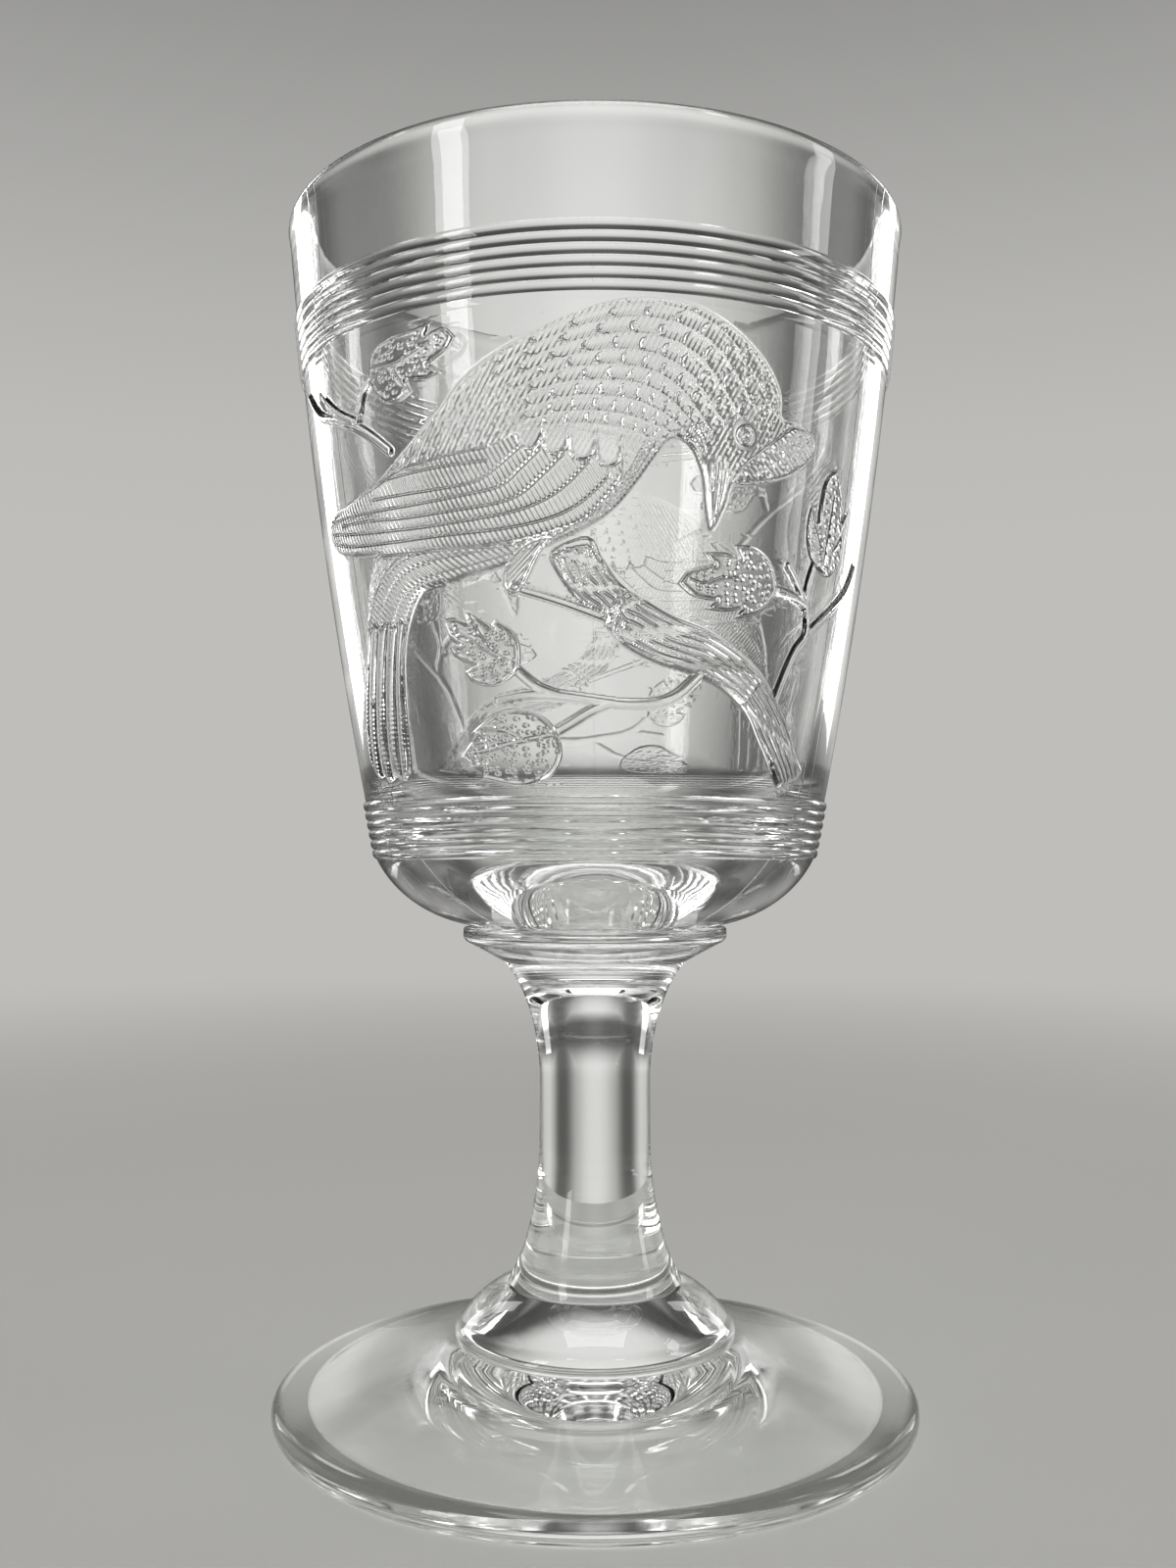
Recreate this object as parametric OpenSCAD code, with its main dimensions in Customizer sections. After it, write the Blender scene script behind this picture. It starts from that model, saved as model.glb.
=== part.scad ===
// Pressed glass goblet on a low stem, with a bird, a branch and leaves raised on the bowl.
// Millimetres, +Z up. The origin is the middle of the ring that the foot stands on.
// The bird faces -Y, and the same picture is repeated on the far side.

/* [Foot] */
// Widest diameter of the foot
foot_d = 81.7; // [72:0.1:92]
// Height of the foot's edge, from the table to where the slope starts
foot_edge_h = 3.6; // [3:0.1:5]
// Height of the widest point of the edge
foot_widest_h = 2; // [1:0.1:2.6]
// Rise of the sloping top from the edge to the boss
foot_rise = 6; // [4:0.1:9]
// How far the sloping top sags below a straight line
foot_sag = 0.3; // [0:0.05:0.8]
// Distance in from the widest point to the start of the slope
edge_round = 1.6; // [1:0.1:2.4]
// Distance in from the widest point to the standing ring
ring_inset = 1.8; // [1.2:0.1:2.4]
// Width of the flat ring that touches the table
ring_w = 3.4; // [2:0.1:6]
// Depth of the hollow under the foot
hollow_depth = 4.2; // [2:0.1:6]

/* [Boss of the foot] */
// Diameter of the boss where it sits on the foot
boss_d = 35.8; // [30:0.1:40]
// Height of the boss's steep side
boss_side_h = 2.2; // [1:0.1:4]
// How far the steep side leans in
boss_lean = 0.8; // [0.2:0.1:1.5]
// Height of the rounded cap above the side
boss_cap_h = 4.6; // [3:0.1:7]
// How far the cap swells above a straight cone
boss_swell = 0.5; // [0:0.05:0.9]

/* [Stem] */
// Diameter of the plain middle of the stem
stem_d = 14.4; // [12:0.1:17]
// Length of the stem from boss to collar
stem_l = 40.8; // [36:0.1:60]
// Diameter where the stem meets the boss
stem_foot_d = 22.4; // [19:0.1:26]
// Diameter where the stem meets the collar
stem_top_d = 23.8; // [19:0.1:27]
// Length of the lower flare
lower_flare_l = 16.6; // [10:0.1:18]
// Length of the upper flare
upper_flare_l = 15.2; // [10:0.1:17]

/* [Collar] */
// Diameter of the collar
collar_d = 34.2; // [31:0.1:40]
// Height of the cone under the collar's edge
collar_cone_h = 2.2; // [1.4:0.1:4]
// Height of the collar's upright edge
collar_edge_h = 2.2; // [1.6:0.1:4]
// Rounding of the edge's lower corner
collar_round = 1.2; // [0.6:0.1:1.5]

/* [Bowl] */
// Outside diameter at the rim
rim_d = 80; // [74:0.1:90]
// Outside diameter at the foot of the plain wall
wall_foot_d = 59.4; // [54:0.1:66]
// Height of the wall from its foot to the rim
wall_h = 74.4; // [72:0.1:90]
// How far the wall bows out from a straight line
wall_bow = 1; // [0:0.05:2]
// Thickness of the wall
wall_t = 2.8; // [2.2:0.1:4]
// Diameter of the bowl's seat on the collar
seat_d = 27.2; // [24:0.1:29]
// Height of the round underside, from the seat to the lower band
underside_h = 8.8; // [7:0.1:12]
// Thickness of the glass between the seat and the inside
floor_t = 5; // [3:0.1:7]
// Height of the rounded bottom of the inside
cavity_round_h = 16; // [12:0.1:20]

/* [Reeded bands] */
// Number of reeds in each band
reed_count = 6; // [4:1:7]
// Height of one reed in the upper band
upper_reed_h = 1.27; // [1:0.01:1.35]
// Height of one reed in the lower band
lower_reed_h = 1.2; // [1:0.01:1.35]
// How far the reeds stand out from the wall
reed_proud = 0.4; // [0.2:0.05:0.6]
// Plain height between the rim and the upper band
rim_plain_h = 12.8; // [8:0.1:13.5]

/* [Raised picture] */
// Plain height between the lower band and the picture's base line
picture_lift = 1.4; // [1.2:0.1:1.8]
// Height of the picture, from its base line to the top of the bird's neck
picture_h = 52; // [44:0.1:52]
// Height of the twigs and legs above the wall
twig_h = 0.5; // [0.3:0.05:0.7]
// Height of the leaves above the wall
leaf_h = 0.6; // [0.45:0.05:0.8]
// Height of the bird's body and tail above the wall
bird_h = 0.75; // [0.6:0.05:0.9]
// Height of the wing feathers above the body
wing_step = 0.35; // [0.2:0.05:0.5]
// Height of the branch above the wall
branch_h = 0.9; // [0.6:0.05:1.2]
// Height of the knot above the branch
knot_step = 0.2; // [0.1:0.05:0.4]
// Depth of the lines cut into the tail, branch and leaves
line_depth = 0.3; // [0.15:0.05:0.4]
// Width of those lines
line_w = 0.45; // [0.3:0.05:0.7]
// Width of a twig
twig_w = 1.1; // [0.7:0.05:1.6]
// Width of the bird's thigh
thigh_w = 1.8; // [1.2:0.05:2.2]
// Width of the bird's shank
shank_w = 1.1; // [0.7:0.05:1.4]
// Width of a wing feather at its root
feather_w = 1.35; // [0.9:0.05:1.6]
// Width of a wing feather at its tip
feather_tip_w = 0.75; // [0.5:0.05:1]
// Diameter of the bird's eye
eye_d = 2; // [1.4:0.1:2.4]
// Number of copies of the picture round the bowl
picture_count = 2; // [1:1:2]

/* [Hidden] */
$fn = 96;
curve_steps = 10;
wall_steps = 8;
reed_steps = 4;
outline_steps = 3;

// Heights of the faces where one piece sits on the next
boss_z = foot_edge_h + foot_rise;
stem_z = boss_z + boss_side_h + boss_cap_h;
collar_z = stem_z + stem_l;
collar_edge_z = collar_z + collar_cone_h;
seat_z = collar_edge_z + collar_edge_h;
band_z = seat_z + underside_h;
wall_z = band_z + reed_count * lower_reed_h;
rim_z = wall_z + wall_h;
reeds_top_z = rim_z - rim_plain_h;
reeds_low_z = reeds_top_z - reed_count * upper_reed_h;
floor_z = seat_z + floor_t;
cavity_z = floor_z + cavity_round_h;
picture_z = wall_z + picture_lift;

// A smooth run from a to b. Its handles are shares of the distance, and give the directions at the ends.
function bezier(a, b, c, d, t) = pow(1 - t, 3) * a + 3 * t * pow(1 - t, 2) * b
    + 3 * t * t * (1 - t) * c + pow(t, 3) * d;
function flow(a, b, leave, arrive) = let (reach = norm(b - a))
    [for (i = [0 : curve_steps]) bezier(a, a + reach * leave, b - reach * arrive, b, i / curve_steps)];

// A run from a to b that bows out to its right by up to bow
function bowed(a, b, bow, t) = let (along = b - a, side = [along.y, -along.x] / norm(along))
    a + t * along + 4 * bow * t * (1 - t) * side;
function bowed_run(a, b, bow, n) = [for (i = [0 : n]) bowed(a, b, bow, i / n)];

// Smooth curves through points set by hand, closed or open
function spline(a, b, c, d, t) = 0.5 * (2 * b + (c - a) * t + (2 * a - 5 * b + 4 * c - d) * t * t
    + (3 * b - a - 3 * c + d) * t * t * t);
function loop_curve(p) = [
    for (i = [0 : len(p) - 1], k = [0 : outline_steps - 1])
    let (n = len(p))
    spline(p[(i + n - 1) % n], p[i], p[(i + 1) % n], p[(i + 2) % n], k / outline_steps)
];
function open_curve(p) = [
    for (i = [0 : len(p) - 2], k = [0 : (i == len(p) - 2 ? outline_steps : outline_steps - 1)])
    let (last = len(p) - 1)
    spline(p[max(i - 1, 0)], p[i], p[i + 1], p[min(i + 2, last)], k / outline_steps)
];

module foot() {
    edge = foot_d / 2;
    ring_out = edge - ring_inset;
    ring_in = ring_out - ring_w;
    widest = [edge, foot_widest_h];
    shoulder = [edge - edge_round, foot_edge_h];
    color("gainsboro")
        rotate_extrude()
            polygon(concat(
                flow([0, hollow_depth], [ring_in, 0], [0.5, 0], [0.15, -0.04]),
                flow([ring_out, 0], widest, [0.4, 0], [0, 0.4]),
                flow(widest, shoulder, [0, 0.4], [-0.4, 0.1]),
                bowed_run(shoulder, [boss_d / 2, boss_z], -foot_sag, curve_steps),
                [[0, boss_z]]
            ));
}

module foot_boss() {
    shoulder = [boss_d / 2 - boss_lean, boss_z + boss_side_h];
    color("lightgray")
        rotate_extrude()
            polygon(concat(
                [[0, boss_z]],
                flow([boss_d / 2, boss_z], shoulder, [0.1, 0.4], [-0.3, 0.3]),
                bowed_run(shoulder, [stem_foot_d / 2, stem_z], boss_swell, curve_steps),
                [[0, stem_z]]
            ));
}

module stem() {
    r = stem_d / 2;
    color("gainsboro")
        rotate_extrude()
            polygon(concat(
                [[0, stem_z]],
                flow([stem_foot_d / 2, stem_z], [r, stem_z + lower_flare_l], [-0.15, 0.2], [0, 0.25]),
                flow([r, collar_z - upper_flare_l], [stem_top_d / 2, collar_z], [0, 0.4], [0.17, 0.18]),
                [[0, collar_z]]
            ));
}

module collar() {
    edge = collar_d / 2;
    color("lightgray")
        rotate_extrude()
            polygon(concat(
                [[0, collar_z], [stem_top_d / 2, collar_z]],
                flow([edge - collar_round, collar_edge_z], [edge, collar_edge_z + collar_round],
                    [0.4, 0.2], [0, 0.4]),
                [[edge, seat_z], [0, seat_z]]
            ));
}

// Outside of the bowl's wall: a bowed line from the wall's foot to the rim, carried on below the foot
function wall_r(z) = bowed([wall_foot_d / 2, wall_z], [rim_d / 2, rim_z], wall_bow, (z - wall_z) / wall_h).x;

// One band of half-round reeds from the height low upwards, without the point at its upper end
function reeds(low, pitch) = [
    for (i = [0 : reed_count - 1], k = [0 : reed_steps - 1])
    let (turn = 180 * k / reed_steps, z = low + pitch * (i + (1 - cos(turn)) / 2))
    [wall_r(z) + reed_proud * sin(turn), z]
];

// The plain wall between the bands, or a copy of it further out
function plain_wall(out) = [
    for (i = [0 : wall_steps])
    let (z = wall_z + (reeds_low_z - wall_z) * i / wall_steps)
    [wall_r(z) + out, z]
];

function bowl_outside() = concat(
    flow([seat_d / 2, seat_z], [wall_r(band_z), band_z], [0.42, 0.02], [0.13, 0.27]),
    reeds(band_z, lower_reed_h),
    plain_wall(0),
    reeds(reeds_low_z, upper_reed_h),
    [[wall_r(reeds_top_z), reeds_top_z]]
);

function rim_arc() = let (r = wall_t / 2)
    [for (a = [0 : 15 : 180]) [rim_d / 2 - r + r * cos(a), rim_z - r + r * sin(a)]];

function bowl_inside() = let (
    top = [rim_d / 2 - wall_t, rim_z - wall_t / 2],
    low = [wall_r(cavity_z) - wall_t, cavity_z],
    down = (low - top) / norm(low - top)
) concat(
    bowed_run(top, low, -wall_bow, wall_steps),
    flow(low, [0, floor_z], 0.3 * down, [-0.45, 0])
);

module bowl() {
    color("whitesmoke")
        rotate_extrude()
            polygon(concat([[0, seat_z]], bowl_outside(), rim_arc(), bowl_inside()));
}

// The raised picture. Its points are [degrees round the bowl, steps above the base line].
// 0 degrees is the front, and positive degrees go to the right as the picture is seen.
// The whole picture is picture_steps high, whatever its real height is.
picture_steps = 52;
picture_scale = picture_h / picture_steps;
function level(y) = picture_z + y * picture_scale;
function picture_r(y) = wall_r(level(y));
function degrees(y, length) = length * 180 / PI / picture_r(y);
function as_flat(q) = [q.x * PI / 180 * picture_r(q.y), q.y * picture_scale];
function as_degrees(q) = let (y = q.y / picture_scale) [degrees(y, q.x), y];

// A skin of glass on the plain wall, from one height above it to another
module wall_skin(from, to) {
    outer = plain_wall(to);
    rotate_extrude()
        polygon(concat(plain_wall(from), [for (i = [wall_steps : -1 : 0]) outer[i]]));
}

// An outline pushed through the wall from the side that it faces
module through_wall(outline, facing) {
    rotate([90, 0, facing])
        linear_extrude(rim_d)
            polygon([for (q = outline) [picture_r(q.y) * sin(q.x - facing), level(q.y)]]);
}

module raised(outline, facing, height) {
    intersection() {
        wall_skin(0, height);
        through_wall(outline, facing);
    }
}

// A line cut into a piece of the given height
module line_cut(path, facing, height) {
    intersection() {
        wall_skin(height - line_depth, height + line_depth);
        through_wall(strip(path, line_w, line_w), facing);
    }
}

// A strip along a path, as wide as start_w at its first point and end_w at its last
function path_side(p, i) = let (along = p[min(i + 1, len(p) - 1)] - p[max(i - 1, 0)])
    [-along.y, along.x] / norm(along);
function strip(path, start_w, end_w) = let (
    p = [for (q = path) as_flat(q)],
    last = len(p) - 1,
    half = [for (i = [0 : last]) path_side(p, i) * (start_w + (end_w - start_w) * i / last) / 2]
) concat(
    [for (i = [0 : last]) as_degrees(p[i] + half[i])],
    [for (i = [last : -1 : 0]) as_degrees(p[i] - half[i])]
);

module around() {
    for (i = [0 : picture_count - 1]) {
        rotate([0, 0, 180 * i])
            children();
    }
}

// The branch: a broken stick from under the bird down to the right, with a knot and bark lines
branch_facing = 22;
branch_line = [
    [-8.6, 24.8], [-5, 26.2], [-1, 26.5], [1, 24.4], [4.4, 21.7], [9, 20], [15, 18.2], [22, 16.9],
    [28, 15.2], [34, 13.2], [40, 10.2], [46, 6.6], [50, 3.8], [53.4, 1.6], [49, 0.4], [44.6, 0],
    [41, 2.6], [37, 5.2], [33, 8], [27, 10.4], [20, 11.9], [12, 13], [5, 15], [0.6, 17.8],
    [-3.4, 19.6], [-6.8, 22.2]
];
knot_line = [[2.4, 17.4], [4.6, 20], [9, 20.4], [6.6, 19], [4.8, 17.2], [5, 15], [3.4, 15.6]];
bark_count = 3;
function bark_path(i) = let (share = (i + 1) / (bark_count + 1)) open_curve([
    [10, 19.4 - 5.4 * share],
    [22, 16.6 - 4.6 * share],
    [35 - 3 * share, 12.4 - 4.2 * share],
    [48 - 6 * share, 4.6 - 3 * share]
]);

module branch_prism() {
    through_wall(loop_curve(branch_line), branch_facing);
    through_wall(loop_curve(knot_line), branch_facing);
}

module branch() {
    difference() {
        raised(loop_curve(branch_line), branch_facing, branch_h);
        for (i = [0 : bark_count - 1]) {
            line_cut(bark_path(i), branch_facing, branch_h);
        }
    }
    raised(loop_curve(knot_line), branch_facing, branch_h + knot_step);
}

module branch_relief() {
    color("silver")
        around()
            branch();
}

// The bird: head bent down to the right, closed wing along its side, tail hanging down to the left
body_facing = -10;
body_line = [
    [5, 51.8], [14, 51.8], [20, 50.8], [26, 48.8], [31, 46.2], [34, 43.4], [34.6, 41], [38, 40.6],
    [42, 40], [44, 38.6],
    [42, 36.6], [37, 34.6], [31, 33.4], [25.4, 33], [24, 30.6], [22, 27.8], [20.2, 30.4], [19.2, 33.8],
    [16.5, 36.6],
    [13, 37], [10, 34.8], [7, 32.2], [3, 29.4], [-2, 27.4], [-9, 25.6], [-17, 23.8], [-24, 23],
    [-30, 22.4],
    [-36, 25], [-42, 26.2], [-50, 26.8], [-60, 27.8], [-65, 29.6], [-64, 32.8], [-55, 33.4], [-47, 34.4],
    [-40, 36.4],
    [-33, 39.2], [-28, 41.6], [-24, 44], [-18, 46.4], [-11, 48.4], [-3, 50.4]
];
eye_at = [27, 38.4];
function eye_line() = [for (a = [0 : 30 : 330])
    let (y = eye_at.y + eye_d / 2 * sin(a) / picture_scale)
    [eye_at.x + degrees(y, eye_d / 2 * cos(a)), y]];

// Rows of feathers on the back, as lines that run round the shoulder and draw in at the throat
row_count = 4;
function row_path(i) = let (share = i / (row_count - 1)) open_curve([
    [-14 - 4 * share, 39.6 + 3.4 * share],
    [-6 - 2 * share, 41.6 + 5 * share],
    [3 + share, 42.2 + 6.2 * share],
    [10 + 4 * share, 41 + 5.8 * share],
    [15 + 7 * share, 38.6 + 5 * share]
]);

// Bands of the flank, which run on into the tail
flank_count = 2;
function flank_path(i) = let (share = i / (flank_count - 1)) open_curve([
    [-8 - 4 * share, 26.2 - 1.4 * share],
    [-20, 25.1 - 1.4 * share],
    [-32, 24.6 - 1.8 * share],
    [-44 + share, 21.4 - 1.2 * share]
]);

tail_facing = -48;
tail_line = [
    [-29, 23], [-35.6, 21.6], [-40, 18.4], [-42.4, 15], [-43.6, 11], [-44.4, 6], [-45, 2.4], [-46.6, 0.9],
    [-49, 0.7], [-50.6, 1.2], [-52.4, 0.7], [-55, 0.7], [-56.4, 1.4], [-58.4, 1.2], [-61, 1.8],
    [-63, 4.4], [-61.4, 8], [-58, 12.6], [-54.6, 17.4], [-52, 22], [-48, 26], [-38, 28]
];
tail_lines = 4;
function tail_path(i) = let (share = (i + 1) / (tail_lines + 1)) open_curve([
    [-41 - 12.6 * share, 18.4],
    [-43.6 - 15 * share, 11],
    [-45.4 - 16.4 * share, 2.2]
]);

// Each long wing feather is a slim strip from under the shoulder to its own tip
wing_facing = -30;
feather_count = 6;
function feather_path(i) = let (share = i / (feather_count - 1)) open_curve([
    [-11 + 11.5 * share, 36.3 - 4.8 * share],
    [-18 + 8 * share, 33.6 - 5.4 * share],
    [-32, 33.2 - 6 * share],
    [-50, 32.6 - 5 * share],
    [-54 - 9.6 * share, 32.4 - 3.6 * share]
]);

// The shoulder ends in four round feather tips
shoulder_line = [
    [8, 37.4], [4.6, 35.4], [3.4, 33.9], [1, 33.7], [-0.2, 35.2], [-1.8, 34.4], [-3.8, 34.6], [-4.8, 35.9],
    [-6.4, 35.2], [-8.4, 35.4], [-9.2, 36.6], [-11, 36], [-13, 36.3], [-14.4, 37.6], [-10, 38.8],
    [-3, 39.8], [4, 39.4]
];

leg_facing = -6;
thigh_path = open_curve([[-8, 26.6], [-12, 24.4], [-15, 21.8]]);
shank_path = open_curve([[-15.4, 21.6], [-6, 19.6], [4, 17.4]]);

module bird() {
    difference() {
        union() {
            raised(loop_curve(body_line), body_facing, bird_h);
            raised(loop_curve(tail_line), tail_facing, bird_h);
            raised(strip(thigh_path, thigh_w, shank_w), leg_facing, twig_h);
            raised(strip(shank_path, shank_w, shank_w), leg_facing, twig_h);
        }
        for (i = [0 : row_count - 1]) {
            line_cut(row_path(i), body_facing, bird_h);
        }
        for (i = [0 : flank_count - 1]) {
            line_cut(flank_path(i), body_facing, bird_h);
        }
        for (i = [0 : tail_lines - 1]) {
            line_cut(tail_path(i), tail_facing, bird_h);
        }
        branch_prism();
    }
    for (i = [0 : feather_count - 1]) {
        raised(strip(feather_path(i), feather_w, feather_tip_w), wing_facing, bird_h + wing_step);
    }
    raised(loop_curve(shoulder_line), wing_facing, bird_h + wing_step);
    raised(eye_line(), eye_at.x, bird_h + wing_step);
}

module bird_relief() {
    color("silver")
        around()
            bird();
}

// Leaves, each with the side that it faces, its lobed outline and its vein
leaves = [
    [-34,
        [[-45, 46.2], [-44.4, 48.2], [-42, 49.8], [-38, 50.8], [-33.5, 51.2], [-30.4, 50.7], [-27, 50.1],
            [-24.5, 48.9], [-26, 47.4], [-30, 46.5], [-27.6, 45.4], [-31.4, 44.8], [-35, 45.1], [-33.6, 44],
            [-37, 43], [-41, 43.6], [-43.6, 44.7]],
        [[-42, 47], [-36, 47.3], [-29, 48.6]]],
    [-23,
        [[-16, 12.5], [-15.2, 14], [-16.2, 16], [-19, 18], [-21.8, 17.9], [-24, 19], [-26.5, 19.4],
            [-26, 18.2], [-28.6, 18.8], [-31.4, 18.5], [-30.4, 16.8], [-28.8, 15.6], [-30.2, 15],
            [-27.6, 13.8], [-25.4, 13.2], [-27, 12.3], [-25, 11.3], [-22, 10.9], [-18.6, 11.3]],
        [[-17.6, 13.6], [-22, 15], [-28, 17]]],
    [-18,
        [[-7.6, 3.4], [-7.5, 5.2], [-8.8, 6.9], [-11.5, 7.8], [-15, 8.1], [-19, 8.1], [-22.4, 7.6],
            [-26.6, 5.8], [-24.4, 5], [-27.4, 4.7], [-30, 3.4], [-28, 2.2], [-24.8, 2], [-25, 0.6],
            [-21.6, 0.1], [-16, -0.3], [-12, 0.1], [-9.2, 1.4]],
        [[-10, 5.2], [-17, 4.6], [-26, 3.6]]],
    [27,
        [[15.5, 22], [17.6, 23.3], [21.6, 24.2], [20.6, 24.8], [23, 25.4], [27, 25.2], [26.6, 26.1],
            [29.6, 26.5], [33, 26], [35.6, 24.6], [37, 22.4], [36.2, 20.6], [33.6, 19.2], [30.4, 18.4],
            [27.6, 18.3], [28, 19.3], [25, 19], [21.4, 19.1], [22.4, 20.2], [18.6, 20.7]],
        [[17.4, 22.4], [20.6, 22], [24, 22.6], [28, 22.7]]],
    [51,
        [[44.3, 32.6], [43.5, 30], [44.4, 27.4], [47, 25.4], [50.4, 24.8], [53.6, 25.2], [56.4, 27.2],
            [57.4, 29.6], [58.6, 33.2], [56, 31.6], [54.6, 31.6], [54.4, 33.8], [53.2, 35.6], [51, 36.9],
            [48.6, 35.6], [47.2, 33.4], [46.6, 31]],
        [[50, 26.6], [50.4, 30], [51, 34]]]
];

// Twigs that carry the leaves, each with the side that it faces
twigs = [
    [-55, [[-70, 48.4], [-64, 45.2], [-57, 43.5], [-50, 42], [-45, 40.3], [-40.8, 38]]],
    [-46, [[-49, 41.6], [-47.4, 43.4], [-46, 45.2], [-43, 46.8]]],
    [1, [[22, 12.8], [19, 11], [16, 9.6], [12, 8.8], [6, 8.6], [0, 9], [-8, 9.6], [-14, 9.7], [-20, 9.2]]],
    [-12, [[-7, 9.5], [-12, 10.6], [-17, 13]]],
    [-3, [[3, 8.8], [-1, 7.9], [-5, 6.6], [-9, 5.4]]],
    [45, [[39.4, 8.4], [42, 12.5], [44.6, 15.6], [47.2, 17.3], [47.2, 19], [46, 21], [46, 23], [47.6, 26]]],
    [42, [[46.2, 20.8], [42, 21.6], [36, 22.1]]],
    [56, [[47, 17.3], [51, 19], [56, 21], [61, 23.2], [63.6, 25.2], [65, 26.8]]]
];

module leaf_relief() {
    color("silver")
        around() {
            for (leaf = leaves) {
                difference() {
                    raised(loop_curve(leaf[1]), leaf[0], leaf_h);
                    line_cut(open_curve(leaf[2]), leaf[0], leaf_h);
                }
            }
            difference() {
                for (twig = twigs) {
                    raised(strip(open_curve(twig[1]), twig_w, twig_w), twig[0], twig_h);
                }
                branch_prism();
            }
        }
}

foot();
foot_boss();
stem();
collar();
bowl();
bird_relief();
branch_relief();
leaf_relief();
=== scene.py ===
# %% [markdown]
# # A pressed glass goblet
# A drinking glass on a low stem, made of clear glass that was pressed in moulds while hot. A bird on a
# broken branch, with leaves on twigs, stands out from the wall of the bowl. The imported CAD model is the
# frame: it fixes the size and place of every section, and this script gives the goblet its finished
# surfaces.

# %% Load the frame
import math

import bmesh
import bpy
import numpy as np
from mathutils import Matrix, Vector, kdtree


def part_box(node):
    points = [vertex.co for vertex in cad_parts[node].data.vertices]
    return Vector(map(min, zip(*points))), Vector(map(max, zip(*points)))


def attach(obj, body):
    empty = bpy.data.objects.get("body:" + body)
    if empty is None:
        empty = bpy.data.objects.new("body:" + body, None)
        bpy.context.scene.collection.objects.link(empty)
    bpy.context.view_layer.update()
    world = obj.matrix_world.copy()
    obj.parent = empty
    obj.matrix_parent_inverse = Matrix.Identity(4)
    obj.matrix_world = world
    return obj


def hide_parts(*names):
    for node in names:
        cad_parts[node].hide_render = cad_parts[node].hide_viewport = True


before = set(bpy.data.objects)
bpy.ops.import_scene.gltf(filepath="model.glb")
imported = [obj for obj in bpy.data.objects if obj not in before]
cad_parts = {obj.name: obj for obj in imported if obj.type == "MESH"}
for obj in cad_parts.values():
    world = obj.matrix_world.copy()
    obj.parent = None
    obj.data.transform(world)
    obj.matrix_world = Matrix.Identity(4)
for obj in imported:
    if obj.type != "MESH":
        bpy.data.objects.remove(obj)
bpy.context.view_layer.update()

MM = 0.001
print("frame nodes:", ", ".join(sorted(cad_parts)))


# %% [markdown]
# ## Sizes from the frame
# The goblet is built up from five turned sections that sit on each other. Typing their heights a second
# time would let the looks drift away from the CAD model, so the heights, and the widths of the foot, the
# collar and the rim, are read from the frame's boxes. The other sizes are named here, in millimetres.

# %% Heights and widths
def width_mm(node):
    low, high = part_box(node)
    return (high[0] - low[0]) / MM


def top_mm(node):
    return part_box(node)[1][2] / MM


FOOT_TOP_Z, BOSS_TOP_Z, STEM_TOP_Z = top_mm("foot"), top_mm("foot_boss"), top_mm("stem")
SEAT_Z, RIM_Z = top_mm("collar"), top_mm("bowl")
FOOT_R, COLLAR_R, RIM_R = (width_mm(node) / 2 for node in ("foot", "collar", "bowl"))
BOSS_R, STEM_FOOT_R, STEM_R, STEM_TOP_R, SEAT_R = 17.9, 11.2, 7.2, 11.9, 13.6
WALL_FOOT_R, WALL_BOW, WALL_T = 29.7, 1.0, 2.8
UNDERSIDE_H, FLOOR_T, RIM_PLAIN_H, PICTURE_LIFT = 8.8, 5, 12.8, 1.4
REED_COUNT, LOWER_REED_H, UPPER_REED_H, REED_PROUD = 6, 1.2, 1.27, 0.4
BAND_Z = SEAT_Z + UNDERSIDE_H
WALL_Z = BAND_Z + REED_COUNT * LOWER_REED_H
REEDS_TOP_Z = RIM_Z - RIM_PLAIN_H
REEDS_LOW_Z = REEDS_TOP_Z - REED_COUNT * UPPER_REED_H
FLOOR_Z = SEAT_Z + FLOOR_T
PICTURE_Z = WALL_Z + PICTURE_LIFT
joints_z = [round(z, 2) for z in (FOOT_TOP_Z, BOSS_TOP_Z, STEM_TOP_Z, SEAT_Z)]
print("joints at", joints_z, "rim at", round(RIM_Z, 2))


# %% [markdown]
# ## Curves for the profiles
# A turned glass is described by half of its outline. Molten glass never makes a perfect arc: it flows, so
# each stretch is a Bezier curve that leaves one point and arrives at the next in a chosen direction. A
# second helper bows a straight line outwards a little, as the wall of the bowl does.

# %% Flowing and bowed lines
def flow(start, end, leave, arrive, steps):
    start, end, leave, arrive = (np.array(p, float) for p in (start, end, leave, arrive))
    reach = np.linalg.norm(end - start)
    t = np.linspace(0, 1, steps + 1)[:, None]
    first, second = start + reach * leave, end - reach * arrive
    return (1 - t)**3 * start + 3 * t * (1 - t)**2 * first + 3 * t**2 * (1 - t) * second + t**3 * end


def bowed(start, end, bow, steps):
    start, end = np.array(start, float), np.array(end, float)
    along = end - start
    side = np.array([along[1], -along[0]]) / np.linalg.norm(along)
    t = np.linspace(0, 1, steps + 1)[:, None]
    return start + t * along + 4 * bow * t * (1 - t) * side


def wall_radius(z):
    """Radius of the plain outside of the bowl at the height z."""
    t = (z - WALL_Z) / (RIM_Z - WALL_Z)
    lean = (RIM_Z - WALL_Z) / math.hypot(RIM_Z - WALL_Z, RIM_R - WALL_FOOT_R)
    return WALL_FOOT_R + t * (RIM_R - WALL_FOOT_R) + 4 * WALL_BOW * t * (1 - t) * lean


wall_ends = [round(wall_radius(z), 2) for z in (WALL_Z, RIM_Z)]
print("wall radius at its foot and at the rim:", wall_ends)


# %% [markdown]
# ## Short words for nodes
# A shader is a tree of nodes, and the goblet's trees are full of small sums. Written out in full they would
# hide what they mean. These helpers add a node, link it and hand back its output, so that a sum reads as a
# sum.

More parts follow.
